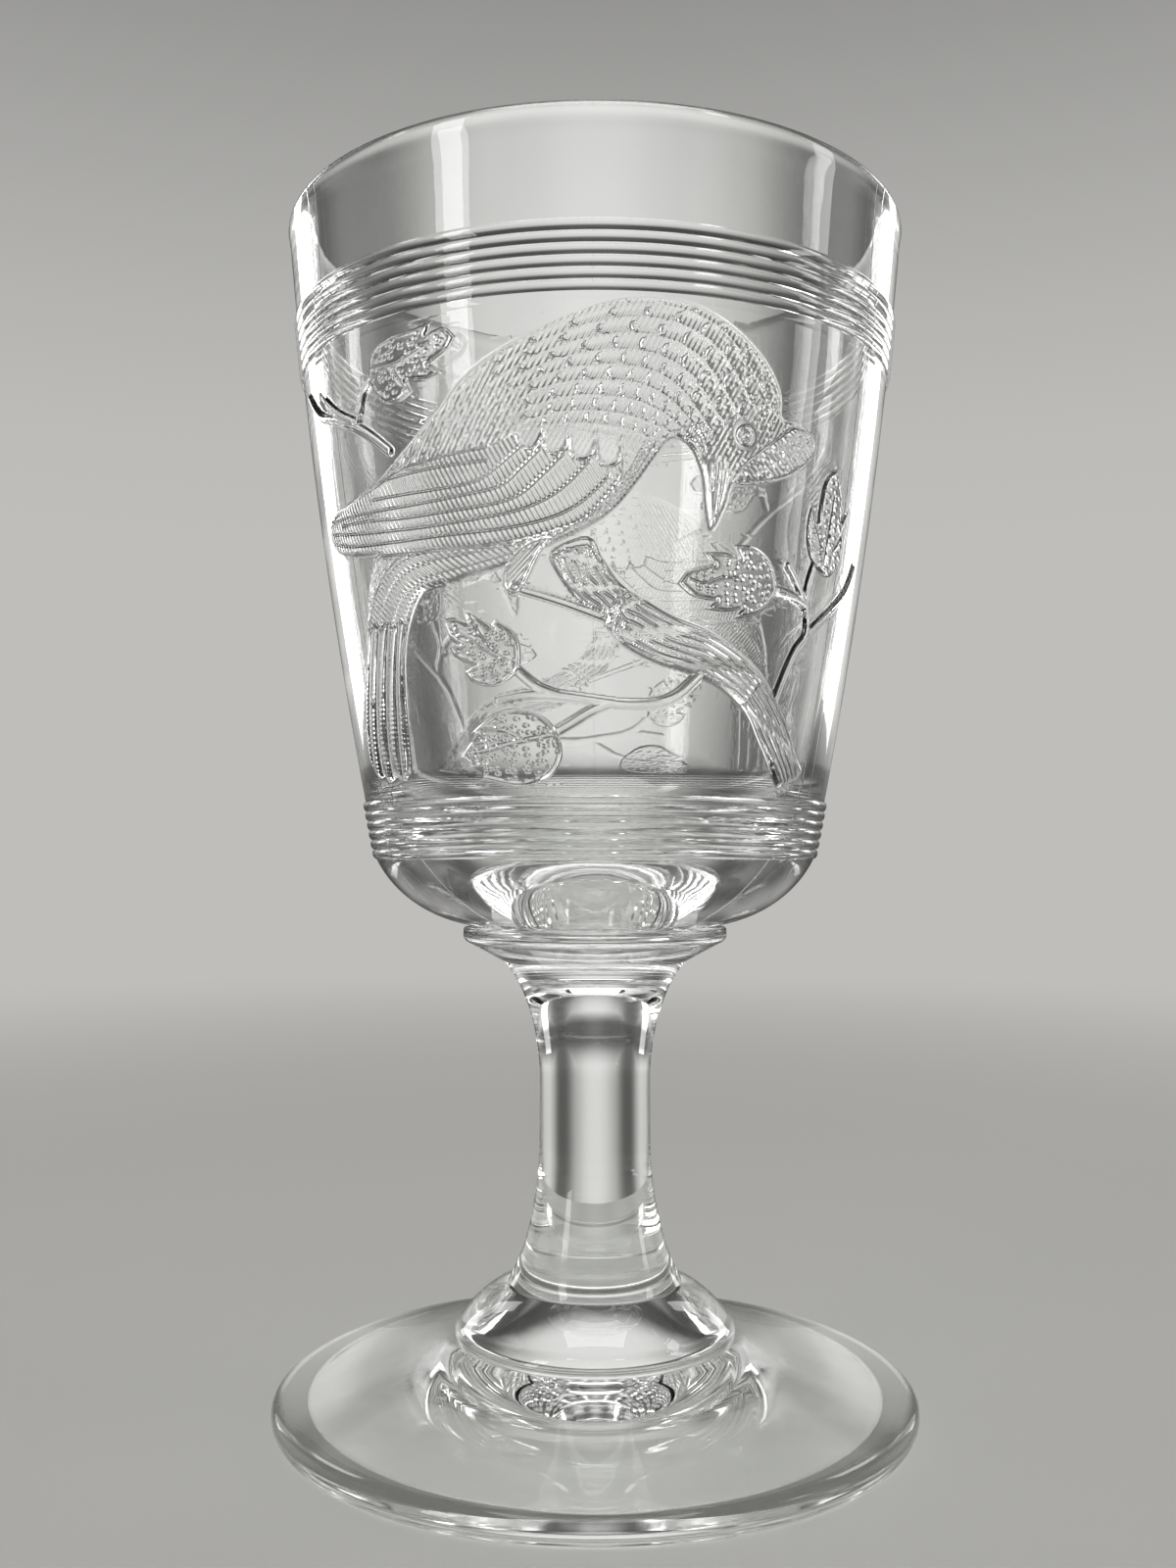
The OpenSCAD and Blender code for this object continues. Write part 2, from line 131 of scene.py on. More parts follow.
# %% Helpers for nodes
def link_all(tree, *pairs):
    for source, target in pairs:
        tree.links.new(source, target)


def add_node(tree, kind, **settings):
    """A new node. Each setting goes to the input of that name, or else to the node's own property."""
    node = tree.nodes.new(kind)
    for name, value in settings.items():
        if name in node.inputs:
            node.inputs[name].default_value = value
        else:
            setattr(node, name, value)
    return node


def math_node(tree, operation, first, second=None):
    node = add_node(tree, "ShaderNodeMath", operation=operation)
    for socket, value in zip(node.inputs, (first, second)):
        if isinstance(value, (int, float)):
            socket.default_value = value
        elif value is not None:
            tree.links.new(value, socket)
    return node.outputs[0]


def total(tree, first, second):
    return math_node(tree, "ADD", first, second)


def product(tree, first, second):
    return math_node(tree, "MULTIPLY", first, second)


def ramp_between(tree, value, low, high, to_low, to_high):
    node = add_node(tree, "ShaderNodeMapRange", interpolation_type="SMOOTHSTEP")
    for name, number in (("From Min", low), ("From Max", high), ("To Min", to_low), ("To Max", to_high)):
        node.inputs[name].default_value = number
    tree.links.new(value, node.inputs["Value"])
    return node.outputs["Result"]


def new_surface(name):
    material = bpy.data.materials.new(name)
    material.use_nodes = True
    material.node_tree.nodes.clear()
    return material, material.node_tree


print("short words for sums:", total.__name__, product.__name__, ramp_between.__name__)


# %% [markdown]
# ## Skin of pressed glass
# Pressed glass is never as even as blown crystal. The mould chills its skin, which leaves long shallow
# ripples and a fine unevenness, the mould's three parts leave faint seams on the bowl, the ring it stands
# on gets scratched, and the melt's faint green tint drifts. All pieces share that skin, so it is one node
# group. It puts out a height in millimetres, a roughness and a tint, and each material uses them.

# %% A node group for the skin
MOULD_PARTS, SEAM_W, SEAM_MM = 3, 0.25 * MM, 0.02
RIPPLE_PER_M, RIPPLE_MM = 60.0, 0.12
GRAIN_PER_M, GRAIN_MM, GRAIN_LOW, GRAIN_HIGH = 420.0, 0.004, 0.35, 0.7
TINT_PER_M = 25.0
POLISHED, DULLEST, SCRATCHED, SCRATCHED_TO = 0.004, 0.03, 0.2, 0.3 * MM
PALEST_TINT, DEEPEST_TINT = (0.985, 0.99, 0.985, 1), (0.955, 0.962, 0.955, 1)


def mould_seam(tree, place):
    """1 on the seams where the mould's parts met and 0 beside them, and the height of the place."""
    axes = add_node(tree, "ShaderNodeSeparateXYZ")
    tree.links.new(place, axes.inputs[0])
    x, y, z = axes.outputs
    turn = math_node(tree, "ARCTAN2", x, product(tree, y, -1.0))
    swing = math_node(tree, "COSINE", product(tree, turn, MOULD_PARTS / 2))
    squares = (math_node(tree, "POWER", axis, 2.0) for axis in (x, y))
    radius = math_node(tree, "SQRT", total(tree, *squares))
    away = product(tree, math_node(tree, "ABSOLUTE", swing), radius)
    return ramp_between(tree, away, 0, SEAM_W, 1, 0), z


def pressed_skin_group():
    group = bpy.data.node_groups.new("pressed_glass_skin", "ShaderNodeTree")
    for name, kind in (("Height", "Float"), ("Roughness", "Float"), ("Tint", "Color")):
        group.interface.new_socket(name, in_out="OUTPUT", socket_type="NodeSocket" + kind)
    place = add_node(group, "ShaderNodeTexCoord").outputs["Object"]
    noises = []
    for scale, detail in ((RIPPLE_PER_M, 1.0), (GRAIN_PER_M, 2.0), (TINT_PER_M, 2.0)):
        noise = add_node(group, "ShaderNodeTexNoise", Scale=scale, Detail=detail)
        group.links.new(place, noise.inputs["Vector"])
        noises.append(noise.outputs["Fac"])
    ripple, grain, drift = noises
    seam, level = mould_seam(group, place)
    on_bowl = ramp_between(group, level, SEAT_Z * MM, BAND_Z * MM, 0, SEAM_MM)
    uneven = total(group, product(group, ripple, RIPPLE_MM), product(group, grain, GRAIN_MM))
    height = total(group, uneven, product(group, seam, on_bowl))
    scratches = product(group, ramp_between(group, level, 0, SCRATCHED_TO, SCRATCHED, 0), grain)
    polish = ramp_between(group, grain, GRAIN_LOW, GRAIN_HIGH, POLISHED, DULLEST)
    roughness = total(group, scratches, polish)
    tint = add_node(group, "ShaderNodeMix", data_type="RGBA")
    tint.inputs["A"].default_value = PALEST_TINT
    tint.inputs["B"].default_value = DEEPEST_TINT
    out = add_node(group, "NodeGroupOutput")
    link_all(group,
             (drift, tint.inputs["Factor"]),
             (height, out.inputs["Height"]),
             (roughness, out.inputs["Roughness"]),
             (tint.outputs["Result"], out.inputs["Tint"]))
    return group


skin_group = pressed_skin_group()
print("node group:", skin_group.name, "with", len(skin_group.nodes), "nodes")


# %% [markdown]
# ## The glass itself
# Glass is a Principled shader with full transmission. Two things need care. A lamp's shadow rays don't
# bend, so they would see a solid wall and the goblet would throw a black shadow: for shadow rays the
# material is nearly clear. And the sections are one glass on the real goblet. Where two of them meet, light
# must pass as if no face were there, so those inner faces get a fully transparent material.

# %% Clear glass and the fused joint
GLASS_IOR = 1.52
SHADOW_TINT, NO_TINT = (0.9, 0.91, 0.9, 1), (1, 1, 1, 1)


def glass_material(name, height, roughness):
    """A glass whose height and roughness come from two functions of its tree and its skin node."""
    material, tree = new_surface(name)
    skin = add_node(tree, "ShaderNodeGroup", node_tree=skin_group)
    glass = add_node(tree, "ShaderNodeBsdfPrincipled", IOR=GLASS_IOR, Metallic=0.0)
    glass.inputs["Transmission Weight"].default_value = 1.0
    bump = add_node(tree, "ShaderNodeBump", Distance=MM, Strength=1.0)
    clear = add_node(tree, "ShaderNodeBsdfTransparent", Color=SHADOW_TINT)
    path = add_node(tree, "ShaderNodeLightPath")
    mix = add_node(tree, "ShaderNodeMixShader")
    out = add_node(tree, "ShaderNodeOutputMaterial")
    link_all(tree,
             (height(tree, skin), bump.inputs["Height"]),
             (bump.outputs["Normal"], glass.inputs["Normal"]),
             (roughness(tree, skin), glass.inputs["Roughness"]),
             (skin.outputs["Tint"], glass.inputs["Base Color"]),
             (path.outputs["Is Shadow Ray"], mix.inputs["Fac"]),
             (glass.outputs["BSDF"], mix.inputs[1]),
             (clear.outputs["BSDF"], mix.inputs[2]),
             (mix.outputs["Shader"], out.inputs["Surface"]))
    return material


def fused_joint_material():
    material, tree = new_surface("fused_joint")
    clear = add_node(tree, "ShaderNodeBsdfTransparent", Color=NO_TINT)
    out = add_node(tree, "ShaderNodeOutputMaterial")
    tree.links.new(clear.outputs["BSDF"], out.inputs["Surface"])
    return material


clear_glass = glass_material("pressed_clear_glass",
                             lambda tree, skin: skin.outputs["Height"],
                             lambda tree, skin: skin.outputs["Roughness"])
fused_joint = fused_joint_material()
print("materials:", clear_glass.name, fused_joint.name)


# %% [markdown]
# ## Turning a profile
# The spin operator sweeps half an outline round the axis. A full turn needs use_merge, which sews the last
# step to the first, and the points on the axis are merged into one pole. After that the normals are worked
# out afresh. Edges that turn sharply are kept sharp, so that the smooth shading doesn't smear across them.

# %% The turning helpers
TURN_STEPS = 200
SHARP_ANGLE = math.radians(28)
GLASS_SLOT, JOINT_SLOT = 0, 1
MERGE_MM, TOUCH_MM = 0.001, 0.01


def turned(profile):
    bm = bmesh.new()
    corners = [bm.verts.new((r * MM, 0, z * MM)) for r, z in profile]
    lines = [bm.edges.new(pair) for pair in zip(corners, corners[1:])]
    bmesh.ops.spin(bm, geom=corners + lines, cent=(0, 0, 0), axis=(0, 0, 1), dvec=(0, 0, 0),
                   angle=math.tau, steps=TURN_STEPS, use_merge=True)
    bmesh.ops.remove_doubles(bm, verts=bm.verts, dist=MERGE_MM * MM)
    bmesh.ops.recalc_face_normals(bm, faces=bm.faces)
    return bm


def mark_joints(bm, joints):
    """Gives the flat faces at each (height, radius) the fused joint's material."""
    def touches(vertex, z, r):
        return abs(vertex.co.z - z * MM) < TOUCH_MM * MM and vertex.co.xy.length < (r + TOUCH_MM) * MM

    for face in bm.faces:
        if any(all(touches(vertex, z, r) for vertex in face.verts) for z, r in joints):
            face.material_index = JOINT_SLOT


def shade_smooth(bm, sharp_joints=False):
    """Smooth faces, with sharp edges where the surface turns, or only round the fused joints."""
    for face in bm.faces:
        face.smooth = True
    for edge in bm.edges:
        if len(edge.link_faces) == 2 and sharp_joints:
            edge.smooth = edge.link_faces[0].material_index == edge.link_faces[1].material_index
        elif len(edge.link_faces) == 2:
            edge.smooth = edge.calc_face_angle() < SHARP_ANGLE


def finished_piece(bm, name, material, node):
    open_edges = sum(not edge.is_manifold for edge in bm.edges)
    mesh = bpy.data.meshes.new(name)
    bm.to_mesh(mesh)
    bm.free()
    mesh.materials.append(material)
    mesh.materials.append(fused_joint)
    piece = bpy.data.objects.new(name, mesh)
    bpy.context.scene.collection.objects.link(piece)
    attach(piece, "root")
    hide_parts(node)
    triangles = sum(len(face.vertices) - 2 for face in mesh.polygons)
    print(name, "stands for", node, "with", triangles, "triangles and", open_edges, "open edges")


def turned_piece(name, profile, joints, node):
    bm = turned(profile)
    mark_joints(bm, joints)
    shade_smooth(bm)
    finished_piece(bm, name, clear_glass, node)


print("a full turn has", TURN_STEPS, "steps of", 360 / TURN_STEPS, "degrees")


# %% [markdown]
# ## Foot
# The foot is a plate that slopes up to the middle. It stands on a narrow flat ring, because a hollow
# underneath keeps it from rocking. The profile runs from the top of the hollow, out to the ring, round the
# soft edge and up the slope to the seat of the boss.

# %% Turn the foot
EDGE_ROUND, WIDEST_Z, EDGE_TOP_Z, FOOT_SAG = 1.6, 2.0, 3.6, 0.3
RING_INSET, RING_W, HOLLOW_Z = 1.8, 3.4, 4.2
RING_OUT_R = FOOT_R - RING_INSET
RING_IN_R = RING_OUT_R - RING_W
turned_piece("Foot", np.vstack([
    flow((0, HOLLOW_Z), (RING_IN_R, 0), (0.5, 0), (0.15, -0.04), 24),
    flow((RING_OUT_R, 0), (FOOT_R, WIDEST_Z), (0.4, 0), (0, 0.4), 8),
    flow((FOOT_R, WIDEST_Z), (FOOT_R - EDGE_ROUND, EDGE_TOP_Z), (0, 0.4), (-0.4, 0.1), 8)[1:],
    bowed((FOOT_R - EDGE_ROUND, EDGE_TOP_Z), (BOSS_R, FOOT_TOP_Z), -FOOT_SAG, 16)[1:],
    [(0, FOOT_TOP_Z)],
]), [(FOOT_TOP_Z, BOSS_R)], "foot")


# %% [markdown]
# ## Boss, stem and collar
# Above the foot come a stepped dome, a plain solid column that flares at both ends, and a flat disc with a
# conical underside that carries the bowl. They are turned in the same way. Each starts and ends on the
# axis, so each is a closed body of glass, and the faces between them are fused joints.

# %% Turn the boss
BOSS_LEAN, BOSS_SIDE_H, BOSS_SWELL = 0.8, 2.2, 0.5
BOSS_SHOULDER = (BOSS_R - BOSS_LEAN, FOOT_TOP_Z + BOSS_SIDE_H)
turned_piece("FootBoss", np.vstack([
    [(0, FOOT_TOP_Z)],
    flow((BOSS_R, FOOT_TOP_Z), BOSS_SHOULDER, (0.1, 0.4), (-0.3, 0.3), 10),
    bowed(BOSS_SHOULDER, (STEM_FOOT_R, BOSS_TOP_Z), BOSS_SWELL, 14)[1:],
    [(0, BOSS_TOP_Z)],
]), [(FOOT_TOP_Z, BOSS_R), (BOSS_TOP_Z, STEM_FOOT_R)], "foot_boss")

# %% Turn the stem
LOWER_FLARE_L, UPPER_FLARE_L = 16.6, 15.2
turned_piece("Stem", np.vstack([
    [(0, BOSS_TOP_Z)],
    flow((STEM_FOOT_R, BOSS_TOP_Z), (STEM_R, BOSS_TOP_Z + LOWER_FLARE_L), (-0.15, 0.2), (0, 0.25), 24),
    flow((STEM_R, STEM_TOP_Z - UPPER_FLARE_L), (STEM_TOP_R, STEM_TOP_Z), (0, 0.4), (0.17, 0.18), 24),
    [(0, STEM_TOP_Z)],
]), [(BOSS_TOP_Z, STEM_FOOT_R), (STEM_TOP_Z, STEM_TOP_R)], "stem")

# %% Turn the collar
COLLAR_CONE_H, COLLAR_ROUND, COLLAR_LIP = 2.2, 1.2, 0.35
COLLAR_EDGE_Z = STEM_TOP_Z + COLLAR_CONE_H
collar_low = (COLLAR_R - COLLAR_ROUND, COLLAR_EDGE_Z)
collar_side = (COLLAR_R, COLLAR_EDGE_Z + COLLAR_ROUND)
turned_piece("Collar", np.vstack([
    [(0, STEM_TOP_Z), (STEM_TOP_R, STEM_TOP_Z)],
    flow(collar_low, collar_side, (0.4, 0.2), (0, 0.4), 8),
    flow((COLLAR_R, SEAT_Z - COLLAR_LIP), (COLLAR_R - COLLAR_LIP, SEAT_Z), (0, 0.4), (-0.4, 0), 5),
    [(SEAT_R, SEAT_Z), (0, SEAT_Z)],
]), [(STEM_TOP_Z, STEM_TOP_R), (SEAT_Z, SEAT_R)], "collar")


# %% [markdown]
# ## Bowl
# The bowl is a tapered cup with two bands of rounded reeds. Its whole wall, outside and inside, is one
# profile: from the seat on the collar, over the underside and the bands, up to the rounded rim and down the
# inside. The stretch between the bands gets even rows, because the raised picture will be pressed into it.

# %% Turn the bowl
WALL_ROW_H, PLAIN_ROWS, REED_STEPS, RIM_STEPS, CAVITY_ROUND_H = 1.08, 8, 6, 12, 16


def reeds(low, pitch):
    """Half-round reeds from the height low upwards, without their last point."""
    rise = []
    for reed in range(REED_COUNT):
        for turn in np.linspace(0, math.pi, REED_STEPS, endpoint=False):
            z = low + pitch * (reed + (1 - math.cos(turn)) / 2)
            rise.append((wall_radius(z) + REED_PROUD * math.sin(turn), z))
    return rise


def plain_wall(low, high, rows):
    """The outside of the wall in even rows, without its last point."""
    return [(wall_radius(z), z) for z in np.linspace(low, high, rows + 1)[:-1]]


wall_rows = round((REEDS_LOW_Z - WALL_Z) / WALL_ROW_H)
rim_round = WALL_T / 2
rim_r, rim_z = RIM_R - rim_round, RIM_Z - rim_round
rim_turns = np.linspace(0, math.pi, RIM_STEPS + 1)
cavity_z = FLOOR_Z + CAVITY_ROUND_H
inside_top = np.array((RIM_R - WALL_T, rim_z))
inside_low = np.array((wall_radius(cavity_z) - WALL_T, cavity_z))
down = (inside_low - inside_top) / np.linalg.norm(inside_low - inside_top)
bowl_profile = np.vstack([
    [(0, SEAT_Z)],
    flow((SEAT_R, SEAT_Z), (wall_radius(BAND_Z), BAND_Z), (0.42, 0.02), (0.13, 0.27), 16)[:-1],
    reeds(BAND_Z, LOWER_REED_H),
    plain_wall(WALL_Z, REEDS_LOW_Z, wall_rows),
    reeds(REEDS_LOW_Z, UPPER_REED_H),
    plain_wall(REEDS_TOP_Z, rim_z, PLAIN_ROWS),
    [(rim_r + rim_round * math.cos(turn), rim_z + rim_round * math.sin(turn)) for turn in rim_turns],
    bowed(inside_top, inside_low, -WALL_BOW, 24)[1:],
    flow(inside_low, (0, FLOOR_Z), 0.3 * down, (-0.45, 0), 20)[1:],
])
bowl_mesh = turned(bowl_profile)
mark_joints(bowl_mesh, [(SEAT_Z, SEAT_R)])
print("bowl profile:", len(bowl_profile), "points, wall rows:", wall_rows)


# %% [markdown]
# ## Drawing on the wall
# The picture's points are written as (degrees round the bowl from the front, millimetres above the
# picture's base line). To measure distances the wall is laid flat. Every outline is a smooth curve through
# its points.

# %% Smooth curves on the flat wall
def laid_flat(points):
    points = np.asarray(points, float)
    radius = wall_radius(PICTURE_Z + points[..., 1])
    return np.stack([np.radians(points[..., 0]) * radius, points[..., 1]], -1)


def between(a, b, c, d, t):
    """Points from b to c, at the shares t of the way, on a smooth curve through a, b, c and d."""
    return 0.5 * (2 * b + (c - a) * t + (2 * a - 5 * b + 4 * c - d) * t**2 + (3 * b - a - 3 * c + d) * t**3)


def smooth_curve(points, closed=False, steps=6):
    """A smooth curve through the points, as many short stretches."""
    p = laid_flat(points)
    p = np.vstack([p[-1:], p, p[:2]]) if closed else np.vstack([p[:1], p, p[-1:]])
    t = np.linspace(0, 1, steps, endpoint=False)[:, None]
    runs = [between(*four, t) for four in zip(p, p[1:], p[2:], p[3:])]
    return np.vstack(runs + [p[-2:-1]])


print("10 degrees are", round(float(laid_flat((10, 0))[0]), 2), "mm on the picture's base line")


# %% [markdown]
# ## Depths and distances
# Two questions about a spot on the wall are enough to raise a relief: how deep inside an outline is it, and
# how far from a line? Both are answered for all spots at once. Spots far from a path are left out, to save
# time.

# %% Depths and distances
FAR_MM, SHORTEST = 8.0, 1e-9


def near_box(spots, path):
    return np.flatnonzero(((spots > path.min(0) - FAR_MM) & (spots < path.max(0) + FAR_MM)).all(1))


def signed_distance(spots, path, cut_ends=False):
    """Distance to a path, positive on its left side. With cut_ends, spots beyond an end count as far."""
    result = np.full(len(spots), FAR_MM)
    near = near_box(spots, path)
    best, signed = np.full(len(near), FAR_MM), np.full(len(near), FAR_MM)
    last = len(path) - 2
    for k, (start, end) in enumerate(zip(path, path[1:])):
        along = end - start
        share = (spots[near] - start) @ along / max(along @ along, SHORTEST)
        off = spots[near] - start - np.clip(share, 0, 1)[:, None] * along
        away = np.hypot(*off.T)
        value = np.where(along[0] * off[:, 1] - along[1] * off[:, 0] < 0, -away, away)
        if cut_ends:
            value = np.where(((k == 0) & (share < 0)) | ((k == last) & (share > 1)), FAR_MM, value)
        signed = np.where(away < best, value, signed)
        best = np.minimum(away, best)
    result[near] = signed
    return result


def distance_to(spots, path):
    return np.abs(signed_distance(spots, path))


def depth_in(spots, loop):
    """Distance to the outline, positive inside it."""
    x, y = spots.T
    within = np.zeros(len(spots), bool)
    for (x0, y0), (x1, y1) in zip(loop, loop[1:]):
        if y0 != y1:
            within ^= ((y0 > y) != (y1 > y)) & (x < x0 + (y - y0) * (x1 - x0) / (y1 - y0))
    return np.where(within, 1, -1) * distance_to(spots, loop)


square = np.array([(0, 0), (2, 0), (2, 2), (0, 2), (0, 0)], float)
print("the middle of a 2 mm square is", float(depth_in(np.ones((1, 2)), square)[0]), "mm deep")


# %% [markdown]
# ## Outlines of the bird
# A bird with its head bent down sits on a broken branch, its closed wing along its side and its tail
# hanging down. On the mould each part is a shallow hollow with a clear edge. A picture could be sculpted by
# hand, but then nobody could change it later. These points give the edges, and a smooth curve does the
# rest. The far side of the bowl repeats the picture.

# %% Outlines of the bird
BODY_LINE = [
    (5, 51.8), (14, 51.8), (20, 50.8), (26, 48.8), (31, 46.2), (34, 43.4), (34.6, 41), (38, 40.6), (42, 40),
    (44, 38.6), (42, 36.6), (37, 34.6), (31, 33.4), (25.4, 33), (24, 30.6), (21.6, 27.8), (20.2, 30.4),
    (19.2, 33.8), (16.5, 36.6), (13, 37), (10, 34.8), (7, 32.2), (3, 29.4), (-2, 27.4), (-9, 25.6),
    (-17, 23.8), (-24, 23), (-30, 22.4), (-36, 25), (-42, 26.2), (-50, 26.8), (-60, 27.8), (-65, 29.6),
    (-64, 32.8), (-55, 33.4), (-47, 34.4), (-40, 36.4), (-33, 39.2), (-28, 41.6), (-24, 44), (-18, 46.4),
    (-11, 48.4), (-3, 50.4)]
TAIL_LINE = [
    (-29, 23), (-35.6, 21.6), (-40, 18.4), (-42.4, 15), (-43.6, 11), (-44.4, 6), (-45, 2.4), (-46.6, 0.9),
    (-49, 0.7), (-50.6, 1.2), (-52.4, 0.7), (-55, 0.7), (-56.4, 1.4), (-58.4, 1.2), (-61, 1.8), (-63, 4.4),
    (-61.4, 8), (-58, 12.6), (-54.6, 17.4), (-52, 22), (-48, 26), (-38, 28)]
WING_LINE = [
    (4.5, 33.4), (1.6, 30.6), (-2.4, 28.4), (-8, 27.2), (-14, 26.4), (-22, 26), (-31, 26), (-40, 26.2),
    (-48, 26.6), (-55, 27.2), (-61, 28), (-65.2, 29.4), (-64.4, 31.2), (-61, 32.4), (-54, 33.2), (-46, 34),
    (-39, 35.2), (-30, 36), (-19, 36.6), (-12, 38), (-4, 37.8), (3, 36.4)]
CREST_LINE = [
    (25.4, 33.2), (31, 33.6), (37, 34.8), (42, 36.8), (43.6, 38.6), (42, 39.8), (38, 40.2), (34, 38.6),
    (30, 36.6), (27, 35)]
BEAK_LINE = [
    (19.6, 35), (19.9, 32.3), (20.8, 29), (21.5, 27.8), (22.8, 29.8), (24, 32.3), (24.2, 33.6),
    (22.8, 35.2)]
THIGH_LINE = [
    (-8, 26.6), (-10.4, 25), (-14, 21.2), (-16.2, 20.6), (-17.6, 22.2), (-16.2, 24.2), (-12.6, 26)]
SHANK_PATH = [(-15.4, 21.4), (-6, 19.6), (4, 17.4)]
EYE_AT, EYE_R = (26.6, 38.2), 0.95
COVERT_TIPS, COVERT_R = [(2.1, 35.3), (-2.4, 36), (-6.9, 36.7), (-11.4, 37.4)], 1.4
print("points of body, tail and wing:", [len(line) for line in (BODY_LINE, TAIL_LINE, WING_LINE)])


# %% [markdown]
# ## Outlines of the branch, the leaves and the twigs
# The branch has a broken end, a sleeve of bark and a long bow. Twigs carry five lobed leaves. A smooth
# curve can't make the sharp notches between the lobes, so a point may be marked with TURN: it is then used
# twice, and the curve turns sharply there. A twig is so thin that a line along its middle is enough.

# %% Outlines of the branch, the leaves and the twigs
BRANCH_LINE = [
    (-8.6, 24.8), (-5, 26.2), (-1, 26.5), (1, 24.4), (4.4, 21.7), (9, 20), (15, 18.2), (22, 16.9),
    (28, 15.2), (34, 13.2), (40, 10.2), (46, 6.6), (50, 3.8), (53.4, 1.6), (49, 0.4), (44.6, 0), (41, 2.6),
    (37, 5.2), (33, 8), (27, 10.4), (20, 11.9), (12, 13), (5, 15), (0.6, 17.8), (-3.4, 19.6), (-6.8, 22.2)]
TURN = True
LEAVES = {
    "upper": [
        (-44.1, 46.3), (-43.4, 48.6), (-41.6, 49.6), (-38, 50.2), (-34.4, 50.4), (-29.1, 50.8, TURN),
        (-29.6, 49.7, TURN), (-26.4, 50), (-24.4, 48.8, TURN), (-25.9, 47.5), (-29.6, 46.3, TURN),
        (-26.9, 45.2, TURN), (-30.9, 44.7), (-34.8, 45, TURN), (-33.7, 43.8, TURN), (-36.9, 43),
        (-40.1, 43.2), (-42.3, 44.2)],
    "middle": [
        (-15.4, 12.6), (-15, 15.1), (-16.4, 16.8), (-19.6, 18.1, TURN), (-20.7, 17.4, TURN), (-24, 18.8),
        (-26.4, 19.4, TURN), (-25.7, 18, TURN), (-28.6, 18.5), (-31.2, 18.4, TURN), (-30, 16.5),
        (-28.2, 15.5, TURN), (-30.1, 15.2, TURN), (-28.9, 14.2), (-24.9, 13.1, TURN), (-26.9, 12.5, TURN),
        (-25.4, 11.3), (-22.1, 10.8), (-18.6, 11.1)],
    "lower": [
        (-7.1, 3), (-7.9, 5.3), (-10, 7), (-13.6, 8), (-17.9, 8.2), (-21.4, 7.6), (-26.6, 5.8, TURN),
        (-24.3, 4.8, TURN), (-27.1, 4.6), (-30, 3, TURN), (-27.9, 2.1), (-24.6, 2, TURN),
        (-25.4, 0.5, TURN), (-22.4, 0.1), (-17.1, -0.4), (-12.9, -0.1), (-9.3, 0.9)],
    "near_branch": [
        (15.4, 21.8, TURN), (17.5, 23.3), (22, 24.1, TURN), (20, 25.3, TURN), (24.4, 25.5),
        (27.6, 25.1, TURN), (26.4, 26.4, TURN), (30, 26.5), (32.9, 26), (35.7, 24.7), (37.1, 22.7),
        (36.6, 21), (32.9, 19.1), (27.5, 18.4, TURN), (28.9, 19.5, TURN), (25.7, 19.1), (21.2, 19.2, TURN),
        (23, 20.2, TURN), (18.6, 20.5)],
    "right": [
        (51.4, 37.2, TURN), (54.4, 34.4), (55.4, 31.8, TURN), (58.6, 33.2, TURN), (56.8, 30.2, TURN),
        (57.9, 28.6, TURN), (56.8, 26.6), (54, 24.9), (50, 24.8), (46, 26), (44, 28), (43.6, 30.6),
        (44.5, 32.6, TURN), (46.6, 31, TURN), (47.2, 34.6), (48.8, 36.2)],
}
TWIGS = [
    [(-70, 48.4), (-64, 45.2), (-57, 43.5), (-50, 41.9), (-45, 40.1), (-40.4, 37.9)],
    [(-60, 46.2), (-55, 44), (-50, 42.4)],
    [(-49, 41.6), (-47.4, 43.4), (-46, 45.2), (-43, 46.4)],
    [(22, 12.8), (19, 11), (16, 9.6), (12, 8.8), (6, 8.6), (0, 9), (-8, 9.6), (-14, 9.7), (-20, 9.2)],
    [(-7, 9.5), (-12, 10.6), (-17, 13)],
    [(3, 8.8), (-1, 7.9), (-5, 6.6), (-9, 5.4)],
    [(39.4, 8.4), (42, 12.5), (44.6, 15.6), (47.2, 17.3), (47.2, 19), (46, 21), (46, 23), (47.6, 26)],
    [(46.2, 20.8), (42, 21.6), (36, 22.1)],
    [(45.4, 21.2), (42.6, 23.2), (39.8, 24.8)],
    [(47, 17.3), (51, 19), (56, 21), (61, 23.2), (63.6, 25.2), (65, 26.8)]]


def with_turns(points):
    """Repeats each point that is marked with TURN, which makes a smooth curve turn sharply there."""
    return [point[:2] for point in points for _ in point[1:]]


outlines = {name: smooth_curve(with_turns(line), closed=True) for name, line in (
    ("body", BODY_LINE), ("tail", TAIL_LINE), ("wing", WING_LINE), ("crest", CREST_LINE),
    ("beak", BEAK_LINE), ("thigh", THIGH_LINE), ("branch", BRANCH_LINE), *LEAVES.items())}
twig_paths = [smooth_curve(path) for path in TWIGS]
shank_path = smooth_curve(SHANK_PATH)
print(len(outlines), "outlines and", len(twig_paths), "twigs")


# %% [markdown]
# ## Lines cut into the figure
# The maker of the mould drew the long feathers, the beak, the leaves' veins and the sleeve of bark with
# single strokes of a graver. Here each stroke is a path of a few points. The round ends of the short
# feathers on the wing's shoulder are half circles, so a formula draws them.

